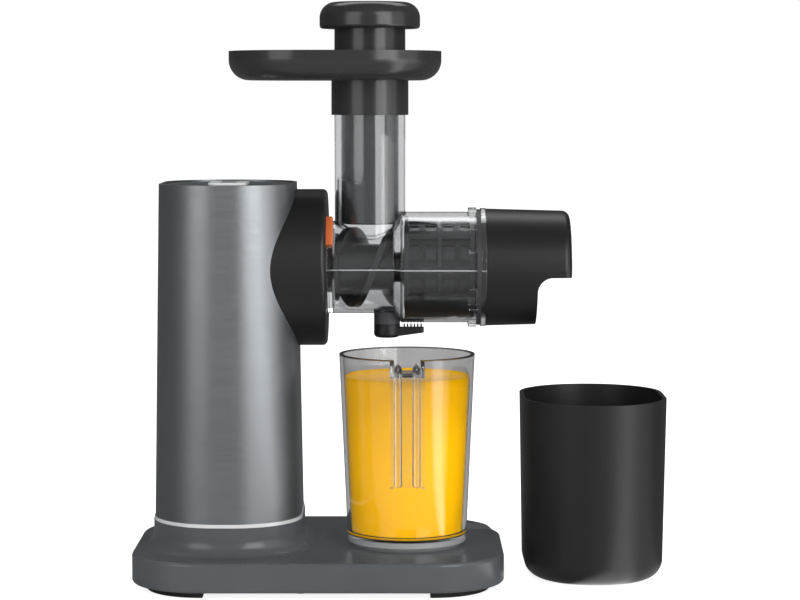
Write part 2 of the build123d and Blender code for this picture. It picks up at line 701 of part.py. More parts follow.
def latch_slot():
    """The opening in the hub's face for the release button."""
    return latch_arc(SNAP_GAP, (-HUB_FACE_THICKNESS - 1, 1))


def release_button():
    """The orange button beside the drum, with the shoulder that keeps it in the hub."""
    rear = -HUB_FACE_THICKNESS - RUN_GAP
    tab = latch_arc(0, (rear, LATCH_PROUD))
    tab = fillet(tab.edges().group_by(Axis.X)[-1], 1.2)
    return tab + latch_arc(LATCH_SHOULDER, (rear - 2, rear))


def shaft_seal():
    """The lip seal round the drive shaft's head."""
    return ring(SEAL_OUTER, SHAFT_RADIUS + RUN_GAP, (SOCKET_REAR - SEAL_THICKNESS, SOCKET_REAR))


def output_bearing():
    """The bearing that carries the drive shaft in the hub."""
    return ring(BEARING_RADIUS, SHAFT_RADIUS, bearing_stations())


# ---------------------------------------------------------------- gear train
def gear(teeth, stations, y, z, first_tooth):
    """An involute gear wheel; one tooth points along first_tooth, in radians from +Y to +Z."""
    pitch_radius = GEAR_MODULE * teeth / 2
    base_radius = pitch_radius * math.cos(PRESSURE_ANGLE)
    root_radius = pitch_radius - 1.25 * GEAR_MODULE
    tip_radius = pitch_radius + GEAR_MODULE
    half_at_pitch = math.pi / (2 * teeth) - BACKLASH / (2 * pitch_radius)
    full = math.tan(PRESSURE_ANGLE) - PRESSURE_ANGLE

    def half_angle(radius):
        pressure = math.acos(min(1.0, base_radius / radius))
        return half_at_pitch + full - (math.tan(pressure) - pressure)

    radii = [max(root_radius, base_radius), tip_radius]
    if base_radius > root_radius:
        radii = [root_radius, base_radius, pitch_radius, tip_radius]
    points = []
    for tooth in range(teeth):
        middle = first_tooth + tooth * 2 * math.pi / teeth
        flank = [(radius, half_angle(max(radius, base_radius))) for radius in radii]
        outline = [(radius, -half) for radius, half in flank] + flank[::-1]
        points += [(radius * math.cos(middle + a), radius * math.sin(middle + a)) for radius, a in outline]
    return bar(make_face(Polyline(*points, close=True)), stations, y, z)


def mesh_angle(y_from, z_from, y_to, z_to):
    """The direction from one gear's axis to another's, in radians from +Y to +Z."""
    return math.atan2(z_to - z_from, y_to - y_from)


def output_gear():
    """The last wheel, with a thinned web and a boss on the drive shaft."""
    start, end = OUTPUT_STATIONS
    towards = mesh_angle(0, AXIS_Z, MIDDLE_Y, MIDDLE_Z)
    wheel = gear(WHEEL_TEETH, OUTPUT_STATIONS, 0, AXIS_Z, towards)
    for face in ((start, start + WEB_DEPTH), (end - WEB_DEPTH, end)):
        wheel -= ring(WEB_RIM, WEB_HUB, face)
    return wheel - rod(SHAFT_RADIUS, OUTPUT_STATIONS)


def middle_gear():
    """The compound gear: the motor drives its wheel, and its pinion drives the output gear."""
    start, end = MOTOR_GEAR_STATIONS
    to_motor = mesh_angle(MIDDLE_Y, MIDDLE_Z, 0, MOTOR_Z)
    to_output = mesh_angle(MIDDLE_Y, MIDDLE_Z, 0, AXIS_Z)
    wheel = gear(WHEEL_TEETH, MOTOR_GEAR_STATIONS, MIDDLE_Y, MIDDLE_Z, to_motor)
    wheel -= ring(WEB_RIM, WEB_HUB, (end - WEB_DEPTH, end), MIDDLE_Y, MIDDLE_Z)
    pinion_stations = (end, OUTPUT_STATIONS[1])
    half_step = math.pi / PINION_TEETH
    pinion = gear(PINION_TEETH, pinion_stations, MIDDLE_Y, MIDDLE_Z, to_output + half_step)
    bore = rod(AXLE_RADIUS + SHAFT_FIT, (start, OUTPUT_STATIONS[1]), MIDDLE_Y, MIDDLE_Z)
    return wheel + pinion - bore


def motor_pinion():
    """The pinion on the motor's shaft."""
    towards = mesh_angle(0, MOTOR_Z, MIDDLE_Y, MIDDLE_Z)
    half_step = math.pi / PINION_TEETH
    pinion = gear(PINION_TEETH, MOTOR_GEAR_STATIONS, 0, MOTOR_Z, towards + half_step)
    return pinion - rod(MOTOR_SHAFT_RADIUS, MOTOR_GEAR_STATIONS, 0, MOTOR_Z)


def middle_axle():
    """The fixed pin that the compound gear turns on."""
    return rod(AXLE_RADIUS, (CASE_REAR + 1, COVER_STATIONS[1] - 1), MIDDLE_Y, MIDDLE_Z)


def case_outline(inset, stations):
    """The gearbox's upright rounded outline, between two stations."""
    height = CASE_TOP - CASE_BOTTOM - 2 * inset
    face = RectangleRounded(2 * (CASE_HALF_WIDTH - inset), height, CASE_CORNER - inset)
    return bar(face, stations, 0, (CASE_TOP + CASE_BOTTOM) / 2)


def gearbox_case():
    """The cast tray that holds the gears and carries the motor."""
    front = COVER_STATIONS[0]
    case = case_outline(0, (CASE_REAR, front)) - case_outline(CASE_WALL, (CASE_REAR + CASE_WALL, front))
    case -= rod(MOTOR_SHAFT_RADIUS + BUSH_WALL, (CASE_REAR, CASE_REAR + CASE_WALL), 0, MOTOR_Z)
    case -= rod(AXLE_RADIUS, (CASE_REAR + 1, CASE_REAR + CASE_WALL), MIDDLE_Y, MIDDLE_Z)
    case -= rod(SHAFT_TAIL_RADIUS + BUSH_WALL, (CASE_REAR, CASE_REAR + CASE_WALL))
    return case


def gearbox_cover():
    """The plate between the gears and the hub."""
    cover = case_outline(0, COVER_STATIONS)
    cover -= rod(SHAFT_RADIUS + CASE_WALL, COVER_STATIONS)
    cover -= rod(AXLE_RADIUS, (COVER_STATIONS[0], COVER_STATIONS[1] - 1), MIDDLE_Y, MIDDLE_Z)
    for y, z in hub_screw_places():
        cover -= rod(PILOT_RADIUS + 0.3, COVER_STATIONS, y, z)
    return cover


def gearbox_screws():
    """The screws that hold the gearbox to the hub."""
    rear = COVER_STATIONS[0]
    screws = Part()
    for y, z in hub_screw_places():
        head = rod(HUB_SCREW_HEAD, (rear - 2 * GEAR_GAP, rear), y, z)
        screws += head + rod(PILOT_RADIUS, (rear, HUB_REAR + HUB_SCREW_DEPTH - 1), y, z)
    return screws


def rear_bush():
    """The bush that carries the tail of the drive shaft."""
    stations = (CASE_REAR, CASE_REAR + CASE_WALL)
    return ring(SHAFT_TAIL_RADIUS + BUSH_WALL, SHAFT_TAIL_RADIUS + SHAFT_FIT, stations)


def drive_shaft():
    """The output shaft with the hex socket that takes the auger."""
    bearing = SHAFT_RADIUS - SHAFT_FIT
    tail = CASE_REAR + GEAR_GAP / 2
    gear_rear, gear_front = OUTPUT_STATIONS
    head = SOCKET_REAR + RUN_GAP
    shaft = turned([
        (tail, 0), (tail, SHAFT_TAIL_RADIUS), (gear_rear, SHAFT_TAIL_RADIUS), (gear_rear, SHAFT_RADIUS),
        (gear_front, SHAFT_RADIUS), (gear_front, bearing), (head, bearing), (head, SHAFT_HEAD_RADIUS),
        (SHAFT_HEAD_FRONT, SHAFT_HEAD_RADIUS), (SHAFT_HEAD_FRONT, 0),
    ])
    socket = hex_bar(HEX_FLATS + RUN_GAP, (head - 1, SHAFT_HEAD_FRONT))
    return shaft - socket


def hex_bar(flats, stations):
    """A hexagonal bar on the auger's axis."""
    return bar(RegularPolygon(flats / 2, 6, major_radius=False), stations)


# ---------------------------------------------------------------- motor
def motor_can():
    """The motor's steel can, closed at the rear."""
    front = CASE_REAR - END_FRAME_THICKNESS
    can = rod(MOTOR_RADIUS, (MOTOR_REAR, front), 0, MOTOR_Z)
    can -= rod(MOTOR_RADIUS - MOTOR_WALL, (MOTOR_REAR + MOTOR_WALL, front), 0, MOTOR_Z)
    return can - rod(MOTOR_SHAFT_RADIUS + BUSH_WALL, (MOTOR_REAR, MOTOR_REAR + MOTOR_WALL), 0, MOTOR_Z)


def motor_end_frame():
    """The plate at the motor's front, which bolts to the gearbox."""
    stations = (CASE_REAR - END_FRAME_THICKNESS, CASE_REAR)
    return ring(MOTOR_RADIUS, MOTOR_SHAFT_RADIUS + BUSH_WALL, stations, 0, MOTOR_Z)


def motor_bushes():
    """The plain bearings at both ends of the motor."""
    front = (CASE_REAR - END_FRAME_THICKNESS, CASE_REAR + CASE_WALL)
    rear = (MOTOR_REAR, MOTOR_REAR + MOTOR_WALL)
    bushes = Part()
    for stations in (front, rear):
        bushes += ring(MOTOR_SHAFT_RADIUS + BUSH_WALL, MOTOR_SHAFT_RADIUS + SHAFT_FIT, stations, 0, MOTOR_Z)
    return bushes


def motor_magnets():
    """The two arc magnets inside the can."""
    outer = MOTOR_RADIUS - MOTOR_WALL
    start, end = ROTOR_STATIONS
    magnets = ring(outer, outer - MAGNET_THICKNESS, ROTOR_STATIONS, 0, MOTOR_Z)
    gap = block(
        (HUB_FACE_X + start, HUB_FACE_X + end), (-MAGNET_HALF_GAP, MAGNET_HALF_GAP),
        (MOTOR_Z - MOTOR_RADIUS, MOTOR_Z + MOTOR_RADIUS),
    )
    return magnets - gap


def rotor_core():
    """The slotted armature."""
    core = rod(ROTOR_RADIUS, ROTOR_STATIONS, 0, MOTOR_Z)
    start, end = ROTOR_STATIONS
    half = ROTOR_SLOT_WIDTH / 2
    slot = block((HUB_FACE_X + start, HUB_FACE_X + end), (-half, half), (ROTOR_SLOT_FLOOR, ROTOR_RADIUS + 1))
    for index in range(ROTOR_SLOTS):
        core -= Pos(0, 0, MOTOR_Z) * Rot(index * 360 / ROTOR_SLOTS, 0, 0) * slot
    return core - rod(MOTOR_SHAFT_RADIUS - SHAFT_FIT, ROTOR_STATIONS, 0, MOTOR_Z)


def commutator():
    """The commutator behind the armature."""
    return ring(COMMUTATOR_RADIUS, MOTOR_SHAFT_RADIUS - SHAFT_FIT, COMMUTATOR_STATIONS, 0, MOTOR_Z)


def motor_brushes():
    """The two brushes that press on the commutator, with their holders."""
    start, end = COMMUTATOR_STATIONS
    reach = MOTOR_RADIUS - MOTOR_WALL
    brushes = Part()
    for side in (-1, 1):
        near, far = sorted((side * (COMMUTATOR_RADIUS + 0.1), side * (reach - 0.6)))
        brushes += block(
            (HUB_FACE_X + start + 1, HUB_FACE_X + end - 1), (near, far),
            (MOTOR_Z - BRUSH_SIDE / 2, MOTOR_Z + BRUSH_SIDE / 2),
        )
    return brushes


def motor_shaft():
    """The motor's shaft, which turns in both bushes."""
    return rod(MOTOR_SHAFT_RADIUS - SHAFT_FIT, (MOTOR_REAR + 0.2, MOTOR_GEAR_STATIONS[1]), 0, MOTOR_Z)


def motor_cradle():
    """The moulded stand that carries the motor from the base."""
    x_range = (HUB_FACE_X + MOTOR_REAR + 4, HUB_FACE_X + CASE_REAR - END_FRAME_THICKNESS)
    side = MOTOR_RADIUS + CRADLE_WALL
    flange = side + CRADLE_FLANGE
    foot = block(x_range, (-flange, flange), (BASE_TOP, BASE_TOP + CRADLE_THICKNESS))
    body = block(x_range, (-side, side), (BASE_TOP, MOTOR_Z))
    body -= rod(MOTOR_RADIUS + SNAP_GAP, (MOTOR_REAR, CASE_REAR), 0, MOTOR_Z)
    roof = MOTOR_Z - MOTOR_RADIUS - CRADLE_WALL
    window = block(x_range, (-MOTOR_RADIUS, MOTOR_RADIUS), (BASE_TOP + CRADLE_THICKNESS, roof))
    return foot + body - window


# ---------------------------------------------------------------- drum
def drum_outside():
    """The drum's outer form: collar, pressing chamber, flare, filter drum and chute."""
    body = turned([
        (COLLAR_REAR, 0), (COLLAR_REAR, COLLAR_RADIUS), (0, COLLAR_RADIUS), (0, CHAMBER_RADIUS),
        (CHAMBER_END, CHAMBER_RADIUS), (DRUM_START, DRUM_RADIUS), (DRUM_FLANGE, DRUM_RADIUS),
        (DRUM_FLANGE, FLANGE_RADIUS), (DRUM_END, FLANGE_RADIUS), (DRUM_END, 0),
    ])
    body += post(CHUTE_RADIUS, AXIS_Z, CHUTE_TOP, HUB_FACE_X + CHUTE_STATION)
    spout_top = AXIS_Z - CHAMBER_RADIUS + CLEAR_WALL
    return body + post(NOZZLE_RADIUS, NOZZLE_BOTTOM, spout_top, HUB_FACE_X + SPOUT_STATION)


def drum_inside():
    """The room inside the drum: chamber, filter space, chute and nozzle."""
    wall = CLEAR_WALL
    chamber = CHAMBER_RADIUS - wall
    rear, front = REAR_WALL
    room = turned([
        (front, 0), (front, chamber), (CHAMBER_END + 0.5, chamber), (DRUM_START + 0.5, DRUM_RADIUS - wall),
        (DRUM_END, DRUM_RADIUS - wall), (DRUM_END, 0),
    ])
    room += rod(COLLAR_RADIUS - COLLAR_WALL, (COLLAR_REAR, rear))
    room += rod(SEAL_RADIUS, (rear, front))
    room += post(CHUTE_RADIUS - wall, AXIS_Z, CHUTE_TOP, HUB_FACE_X + CHUTE_STATION)
    spout = HUB_FACE_X + SPOUT_STATION
    floor = NOZZLE_BOTTOM + NOZZLE_FLOOR
    room += post(NOZZLE_RADIUS - NOZZLE_WALL, floor, AXIS_Z - chamber + wall, spout)
    return room + post(STOP_HOLE, NOZZLE_BOTTOM, floor + 1, spout - STOP_HOLE_OFFSET)


def drum_lugs():
    """The bayonet lugs at the rear and the grip lugs near the front flange."""
    rear_stations = (LUG_REAR, LUG_FRONT)
    lug_ring = ring(SOCKET_RADIUS - 0.5, COLLAR_RADIUS - 1, rear_stations)
    lugs = Part()
    for index in range(BAYONET_LUGS):
        lugs += lug_ring & sector(rear_stations, SOCKET_RADIUS + 4, lug_angle(index), LUG_ARC)
    front_ring = ring(FRONT_LUG_RADIUS, DRUM_RADIUS - 1, FRONT_LUG_STATIONS)
    for index in range(FRONT_LUGS):
        angle = 90 + index * 360 / FRONT_LUGS
        lugs += front_ring & sector(FRONT_LUG_STATIONS, FRONT_LUG_RADIUS + 4, angle, FRONT_LUG_ARC)
    return lugs


def juicer_drum():
    """The clear drum: one moulding from the hub to the end cap, with the feed chute."""
    return drum_outside() - drum_inside() + drum_lugs()


def rear_seal():
    """The silicone ring that the auger's journal turns in."""
    return ring(SEAL_RADIUS, JOURNAL_RADIUS + RUN_GAP, REAR_WALL)


def drum_gasket():
    """The dark ring in front of the lugs."""
    return ring(GASKET_RADIUS, DRUM_RADIUS, (FRONT_LUG_STATIONS[1], DRUM_FLANGE))


def spout_seal():
    """The dark ring round the spout that the drip stop turns under."""
    collar = post(STOP_RADIUS, STOP_TOP + RUN_GAP, AXIS_Z - CHAMBER_RADIUS + 1, HUB_FACE_X + SPOUT_STATION)
    return collar - drum_outside()


def filter_cage():
    """The frame that carries the mesh: end rings, a middle ring, ribs and a gutter below."""
    start, end = FILTER_STATIONS
    inner = FILTER_RADIUS - CAGE_THICKNESS
    shell = ring(FILTER_RADIUS, inner, FILTER_STATIONS)
    middle = (start + end) / 2
    bays = [(start + CAGE_RING, middle - CAGE_MIDDLE / 2), (middle + CAGE_MIDDLE / 2, end - CAGE_RING)]
    window = 360 / CAGE_RIBS - CAGE_RIB_ARC
    for index in range(CAGE_RIBS):
        angle = (index + 0.5) * 360 / CAGE_RIBS
        for bay in bays:
            shell -= sector(bay, FILTER_RADIUS + 6, angle, window)
    wall = DRUM_RADIUS - CLEAR_WALL - RUN_GAP
    collar = ring(wall, FILTER_RADIUS - 1, (start, start + CAGE_MIDDLE))
    return shell + collar + juice_gutter()


def juice_gutter():
    """The shell under the cage, whose floor is cut away in a slope towards the end cap."""
    shell = ring(GUTTER_RADIUS, FILTER_RADIUS - CAGE_THICKNESS / 2, FILTER_STATIONS)
    shell = shell & sector(FILTER_STATIONS, GUTTER_RADIUS + 4, -90, GUTTER_ARC)
    start, end = (HUB_FACE_X + station for station in GUTTER_SLOPE)
    low = AXIS_Z - GUTTER_RADIUS
    slope = Polyline((start, low), (end, low + GUTTER_RISE), (end, low), close=True)
    return shell - extrude(Plane.XZ * make_face(slope), GUTTER_RADIUS, both=True)


def filter_mesh():
    """The fine steel strainer inside the cage, with rows of slots."""
    outer = FILTER_RADIUS - CAGE_THICKNESS
    start, end = FILTER_STATIONS
    sleeve = ring(outer, outer - MESH_THICKNESS, FILTER_STATIONS)
    row_length = (end - start) / MESH_ROWS
    for row in range(MESH_ROWS):
        low = start + row * row_length + MESH_BRIDGE / 2
        for index in range(CAGE_RIBS):
            angle = (index + 0.5) * 360 / CAGE_RIBS
            sleeve -= sector((low, low + row_length - MESH_BRIDGE), outer + 2, angle, MESH_ARC)
    return sleeve


# ---------------------------------------------------------------- auger
def flight(pitch, stations, start_angle, inner, outer, thickness):
    """One left-handed screw blade round the auger's core."""
    start, end = stations
    over = 4.0
    radius = (inner + outer) / 2
    path = Helix(pitch, end - start + 2 * over, radius, center=(0, 0, start - over), lefthand=True)
    section = Plane(path @ 0, x_dir=(1, 0, 0), z_dir=path % 0) * Rectangle(outer - inner + 6, thickness)
    blade = sweep(section, path=path, is_frenet=True)
    blade = Rot(0, 0, start_angle) * blade
    limit = Pos(0, 0, start) * Cylinder(outer, end - start, align=(Align.CENTER, Align.CENTER, Align.MIN))
    blade = blade & limit
    return Pos(HUB_FACE_X, 0, AXIS_Z) * Rot(0, 90, 0) * blade


def auger():
    """The screw: hex shank, journal, feed flights, waist, tapered press section and nose."""
    waist_start, waist_end = WAIST_STATIONS
    press_start, press_end = waist_end + 2, FILTER_STATIONS[1] - 1.5
    back, plate = AUGER_BACK, AUGER_BACK + AUGER_PLATE
    core = turned([
        (0, 0), (0, JOURNAL_RADIUS), (back, JOURNAL_RADIUS), (back, AUGER_BACK_RADIUS),
        (plate, AUGER_BACK_RADIUS), (plate + 1, AUGER_CORE), (waist_start - 1.5, AUGER_CORE),
        (waist_start, AUGER_WAIST), (waist_end, AUGER_WAIST), (press_start, AUGER_CORE - 2),
        (press_end - PRESS_LAND, PRESS_END_RADIUS), (press_end, PRESS_END_RADIUS),
        (press_end + 1, JOURNAL_RADIUS), (DRUM_END + 1, JOURNAL_RADIUS), (DRUM_END + 1, 0),
    ])
    core += hex_bar(HEX_FLATS, (SOCKET_REAR + 2, 0.5))
    root = AUGER_CORE - 3
    feed = (plate - 0.5, waist_start - 1)
    for index in range(FEED_STARTS):
        angle = FEED_FIRST + index * 360 / FEED_STARTS
        core += flight(FEED_PITCH, feed, angle, root, FLIGHT_RADIUS, FLIGHT_THICKNESS)
    press = (press_start, press_end)
    return core + flight(PRESS_PITCH, press, 0, root, PRESS_FLIGHT_RADIUS, PRESS_THICKNESS)


# ---------------------------------------------------------------- end cap
def cap_side(inset):
    """The end cap seen from the side, as a thick plate that the turned form is cut by."""
    start = DRUM_END - 5
    reach = CAP_RADIUS + 5
    bend = [(x - inset, z + inset) for x, z in (HOOD_ARC_END, HOOD_ARC_MIDDLE, HOOD_ARC_START)]
    end = CAP_END - inset
    foot = (HOOD_START - inset, -reach)
    drop = Polyline(foot, (start, -reach), (start, reach), (end, reach), (end, HOOD_LIP + inset), bend[0])
    face = Plane.XZ * make_face([*drop.edges(), ThreePointArc(*bend), Line(bend[2], foot)])
    plate = extrude(face, reach, both=True)
    return Pos(HUB_FACE_X, 0, AXIS_Z) * plate


def cap_form(inset):
    """The end cap's turned form, a slightly tapered cup with a rounded end."""
    start = DRUM_END + SNAP_GAP
    end = CAP_END - inset
    high, low = CAP_RADIUS - inset, CAP_END_RADIUS - inset
    corner = CAP_END_ROUND
    outline = Polyline((start, 0), (start, high), (end - corner, low))
    edge = end - CAP_CROWN
    bend = ThreePointArc((end - corner, low), (edge - corner * 0.2, low - corner * 0.26), (edge, low - corner))
    rest = Polyline((edge, low - corner), (end, CAP_FLAT), (end, 0), (start, 0))
    face = make_face([*outline.edges(), bend, *rest.edges()])
    return Pos(HUB_FACE_X, 0, AXIS_Z) * revolve(face, Axis.X)


def end_cap():
    """The black cap whose hood turns the pulp down into the container."""
    cap = cap_form(0) & cap_side(0)
    cap -= cap_form(CAP_WALL) & cap_side(CAP_WALL)
    mouth = block(
        (HUB_FACE_X + MOUTH_START, HUB_FACE_X + CAP_END - CAP_WALL), (-MOUTH_HALF_WIDTH, MOUTH_HALF_WIDTH),
        (AXIS_Z - CAP_RADIUS, AXIS_Z + HOOD_LIP + CAP_WALL + 1),
    )
    cap -= mouth & cap_form(CAP_WALL)
    inner = DRUM_RADIUS - CLEAR_WALL - RUN_GAP
    cap += ring(inner, inner - CAP_WALL, (DRUM_END - CAP_SPIGOT, DRUM_END + SNAP_GAP + 2))
    return cap + ring(CAP_RADIUS - 1, inner - CAP_WALL, (DRUM_END + SNAP_GAP, DRUM_END + SNAP_GAP + 2))


def end_bush():
    """The spider in the end cap that carries the auger's nose and lets the pulp past."""
    stations = (DRUM_END - CAP_SPIGOT - 3.0, DRUM_END - CAP_SPIGOT)
    outer = DRUM_RADIUS - CLEAR_WALL - RUN_GAP
    spider = ring(outer, outer - 3, stations)
    spider += ring(JOURNAL_RADIUS + 3.5, JOURNAL_RADIUS + RUN_GAP, stations)
    start, end = stations
    half = SPOKE_WIDTH / 2
    spoke = block((HUB_FACE_X + start, HUB_FACE_X + end), (-half, half), (JOURNAL_RADIUS + 2, outer - 1))
    for index in range(BUSH_SPOKES):
        spider += Pos(0, 0, AXIS_Z) * Rot(index * 360 / BUSH_SPOKES, 0, 0) * spoke
    return spider


# ---------------------------------------------------------------- drip stop, tray, pusher
def drip_stop():
    """The black cup that turns on the spout and opens or shuts its hole, with a ribbed arm."""
    x = HUB_FACE_X + SPOUT_STATION
    cup = post(STOP_RADIUS, STOP_BOTTOM, STOP_TOP, x)
    cup = fillet(cup.edges().group_by(Axis.Z)[0], 2.5)
    cup += stop_arm()
    cup -= post(NOZZLE_RADIUS + RUN_GAP, NOZZLE_BOTTOM - RUN_GAP, STOP_TOP, x)
    return cup - post(STOP_HOLE, STOP_BOTTOM, NOZZLE_BOTTOM, x - STOP_HOLE_OFFSET)


def stop_arm():
    """The arm that a finger turns the drip stop by, with an underside that climbs outwards."""
    start = HUB_FACE_X + SPOUT_STATION
    end = HUB_FACE_X + STOP_ARM_END
    side = Polyline(
        (start, STOP_BOTTOM), (end, STOP_BOTTOM + STOP_ARM_RISE), (end, STOP_ARM_TOP), (start, STOP_ARM_TOP),
        close=True,
    )
    arm = extrude(Plane.XZ * make_face(side), STOP_ARM_WIDTH / 2, both=True)
    arm = fillet(arm.edges().filter_by(Axis.Z).group_by(Axis.X)[-1], 2.0)
    first = start + STOP_RADIUS + STOP_RIB_PITCH
    half = STOP_ARM_WIDTH / 2 - 1
    for index in range(STOP_RIBS):
        x = first + index * STOP_RIB_PITCH
        arm += block((x, x + STOP_RIB_THICKNESS), (-half, half), (STOP_ARM_TOP, STOP_TOP))
    return arm


def feed_tray():
    """The dish on the chute, with the sleeve that slips over the clear tube."""
    x = HUB_FACE_X + CHUTE_STATION
    middle = x - TRAY_REACH
    dish = rounded_block(TRAY_LENGTH, TRAY_DEPTH, TRAY_CORNER, TRAY_BOTTOM, TRAY_TOP, middle)
    dish = fillet(dish.edges().group_by(Axis.Z)[0], TRAY_ROUND)
    hollow = rounded_block(
        TRAY_LENGTH - 2 * TRAY_WALL, TRAY_DEPTH - 2 * TRAY_WALL, TRAY_CORNER - TRAY_WALL,
        TRAY_BOTTOM + TRAY_WALL, TRAY_TOP + TRAY_ROUND, middle,
    )
    hollow = fillet(hollow.edges().group_by(Axis.Z)[0], TRAY_ROUND - TRAY_WALL)
    tray = dish - hollow
    ledge_top = CHUTE_TOP + RUN_GAP + LEDGE_THICKNESS
    tray += post(SLEEVE_RADIUS, SLEEVE_BOTTOM, ledge_top + 3, x)
    tray -= post(CHUTE_RADIUS + RUN_GAP, SLEEVE_BOTTOM, CHUTE_TOP + RUN_GAP, x)
    tray -= post(CHUTE_RADIUS + RUN_GAP, ledge_top, TRAY_TOP, x)
    return tray - post(CHUTE_RADIUS - CLEAR_WALL, SLEEVE_BOTTOM, TRAY_TOP, x)


def pusher_stem():
    """The hollow pusher with the shoulder that rests on the tray's ledge."""
    x = HUB_FACE_X + CHUTE_STATION
    seat = PUSHER_SEAT
    inner = PUSHER_RADIUS - PUSHER_WALL
    shoulder = CHUTE_RADIUS - PUSHER_WALL
    return spun([
        (0, PUSHER_BOTTOM), (PUSHER_RADIUS - 1, PUSHER_BOTTOM), (PUSHER_RADIUS, PUSHER_BOTTOM + 1),
        (PUSHER_RADIUS, seat), (CHUTE_RADIUS, seat), (CHUTE_RADIUS, SHOULDER_TOP), (shoulder, SHOULDER_TOP),
        (shoulder, seat + PUSHER_WALL), (inner, seat + PUSHER_WALL), (inner, PUSHER_BOTTOM + PUSHER_WALL),
        (0, PUSHER_BOTTOM + PUSHER_WALL),
    ], x)


def pusher_cap():
    """The knob on the pusher, with the plug that closes the stem."""
    x = HUB_FACE_X + CHUTE_STATION
    knob = post(KNOB_RADIUS, SHOULDER_TOP, CAP_TOP, x)
    knob = fillet(knob.edges().group_by(Axis.Z)[-1], KNOB_ROUND)
    knob = fillet(knob.edges().group_by(Axis.Z)[0], 2.0)
    plug = CHUTE_RADIUS - PUSHER_WALL
    knob += post(plug, SHOULDER_TOP - PLUG_DEPTH, SHOULDER_TOP + 1, x)
    return knob - post(plug - PLUG_WALL, SHOULDER_TOP - PLUG_DEPTH, CAP_TOP - 2 * PLUG_WALL, x)


# ---------------------------------------------------------------- jug and container
def jug_radius(height):
    """The jug's outer radius at one height."""
    share = (height - JUG_FLOOR) / (JUG_TOP - JUG_FLOOR)
    return JUG_FOOT_RADIUS + share * (JUG_RIM_RADIUS - JUG_FOOT_RADIUS)


def juice_jug():
    """The clear jug with its thick base and the hooked handle."""
    inner_floor = JUG_FLOOR + JUG_BASE
    corner = JUG_FOOT_ROUND
    jug = spun([
        (0, JUG_FLOOR), (JUG_FOOT_RADIUS - corner, JUG_FLOOR), (JUG_FOOT_RADIUS, JUG_FLOOR + corner),
        (JUG_RIM_RADIUS, JUG_TOP), (JUG_RIM_RADIUS - JUG_WALL, JUG_TOP),
        (jug_radius(inner_floor + corner) - JUG_WALL, inner_floor + corner),
        (jug_radius(inner_floor) - JUG_WALL - corner, inner_floor), (0, inner_floor),
    ], JUG_X)
    return jug - handle_notch() + jug_handle()


def handle_notch():
    """The opening in the jug's rim that the handle's channel runs out of."""
    half = HANDLE_WIDTH / 2 - HANDLE_THICKNESS
    floor = JUG_TOP - HANDLE_DROP - HANDLE_DEPTH + HANDLE_THICKNESS
    return block((JUG_X - half, JUG_X + half), (-JUG_RIM_RADIUS, -JUG_RIM_RADIUS / 2), (floor, JUG_TOP))


def jug_handle():
    """The open handle: a channel, open outwards, that leaves the rim, turns down and ends free."""
    rim = JUG_RIM_RADIUS - JUG_WALL / 2
    out = JUG_RIM_RADIUS + HANDLE_REACH
    top = JUG_TOP - HANDLE_DROP
    bottom = top - HANDLE_LENGTH
    sunk = HANDLE_DEPTH - HANDLE_THICKNESS
    web = side_band(rim, out - sunk, top - sunk, bottom, HANDLE_THICKNESS, HANDLE_BEND - sunk)
    wing = side_band(rim, out, top, bottom, HANDLE_DEPTH, HANDLE_BEND)
    half = HANDLE_WIDTH / 2
    handle = Pos(JUG_X, 0, 0) * extrude(web, half, both=True)
    for side in (-1, 1):
        handle += Pos(JUG_X + side * (half - HANDLE_THICKNESS / 2), 0, 0) * extrude(
            wing, HANDLE_THICKNESS / 2, both=True
        )
    return handle - post(JUG_RIM_RADIUS - JUG_WALL, top - 3 * HANDLE_BEND, JUG_TOP, JUG_X)


def side_band(rim, out, top, bottom, thickness, bend):
    """The handle's outline from the side: a band of one thickness with a round turn."""
    inner = max(bend - thickness, 0.5)
    outer_path = FilletPolyline((-rim, top), (-out, top), (-out, bottom), radius=bend)
    inner_path = FilletPolyline(
        (-out + thickness, bottom), (-out + thickness, top - thickness), (-rim, top - thickness), radius=inner
    )
    ends = [
        Line((-out, bottom), (-out + thickness, bottom)),
        Line((-rim, top - thickness), (-rim, top)),
    ]
    return Plane.YZ * make_face([*outer_path.edges(), ends[0], *inner_path.edges(), ends[1]])


def pulp_container():
    """The black container that catches the pulp."""
    outer = tapered_block(CONTAINER_LOW, CONTAINER_HIGH, 0, CONTAINER_HEIGHT, CONTAINER_X, CONTAINER_Y)
    outer = fillet(outer.edges().group_by(Axis.Z)[0], CONTAINER_ROUND)
    inner = tapered_block(
        CONTAINER_LOW, CONTAINER_HIGH, CONTAINER_WALL, CONTAINER_HEIGHT + CONTAINER_WALL,
        CONTAINER_X, CONTAINER_Y, inset=CONTAINER_WALL,
    )
    inner = fillet(inner.edges().group_by(Axis.Z)[0], CONTAINER_ROUND - CONTAINER_WALL)
    return outer - inner


def main():
    """Build every piece and write its file."""
    os.makedirs("parts", exist_ok=True)
    pieces = [
        base_housing, bottom_cover, base_screws, base_feet, cord_grommet,
        trim_ring, tower_sleeve, top_panel, button_bezel, control_board, button_switches,
        drive_hub, release_button, shaft_seal, output_bearing,
        output_gear, middle_gear, motor_pinion, middle_axle, gearbox_case, gearbox_cover,
        gearbox_screws, rear_bush, drive_shaft,
        motor_can, motor_end_frame, motor_bushes, motor_magnets, rotor_core, commutator,
        motor_brushes, motor_shaft, motor_cradle,
        juicer_drum, rear_seal, drum_gasket, spout_seal, filter_cage, filter_mesh, auger,
        end_cap, end_bush, drip_stop, feed_tray, pusher_stem, pusher_cap,
        juice_jug, pulp_container,
    ]
    for piece in pieces:
        save(piece.__name__, piece())
    save("start_button", push_button(-1))
    save("reverse_button", push_button(1))


main()
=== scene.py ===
import json
import math

import bmesh
import bpy
from mathutils import Matrix, Vector


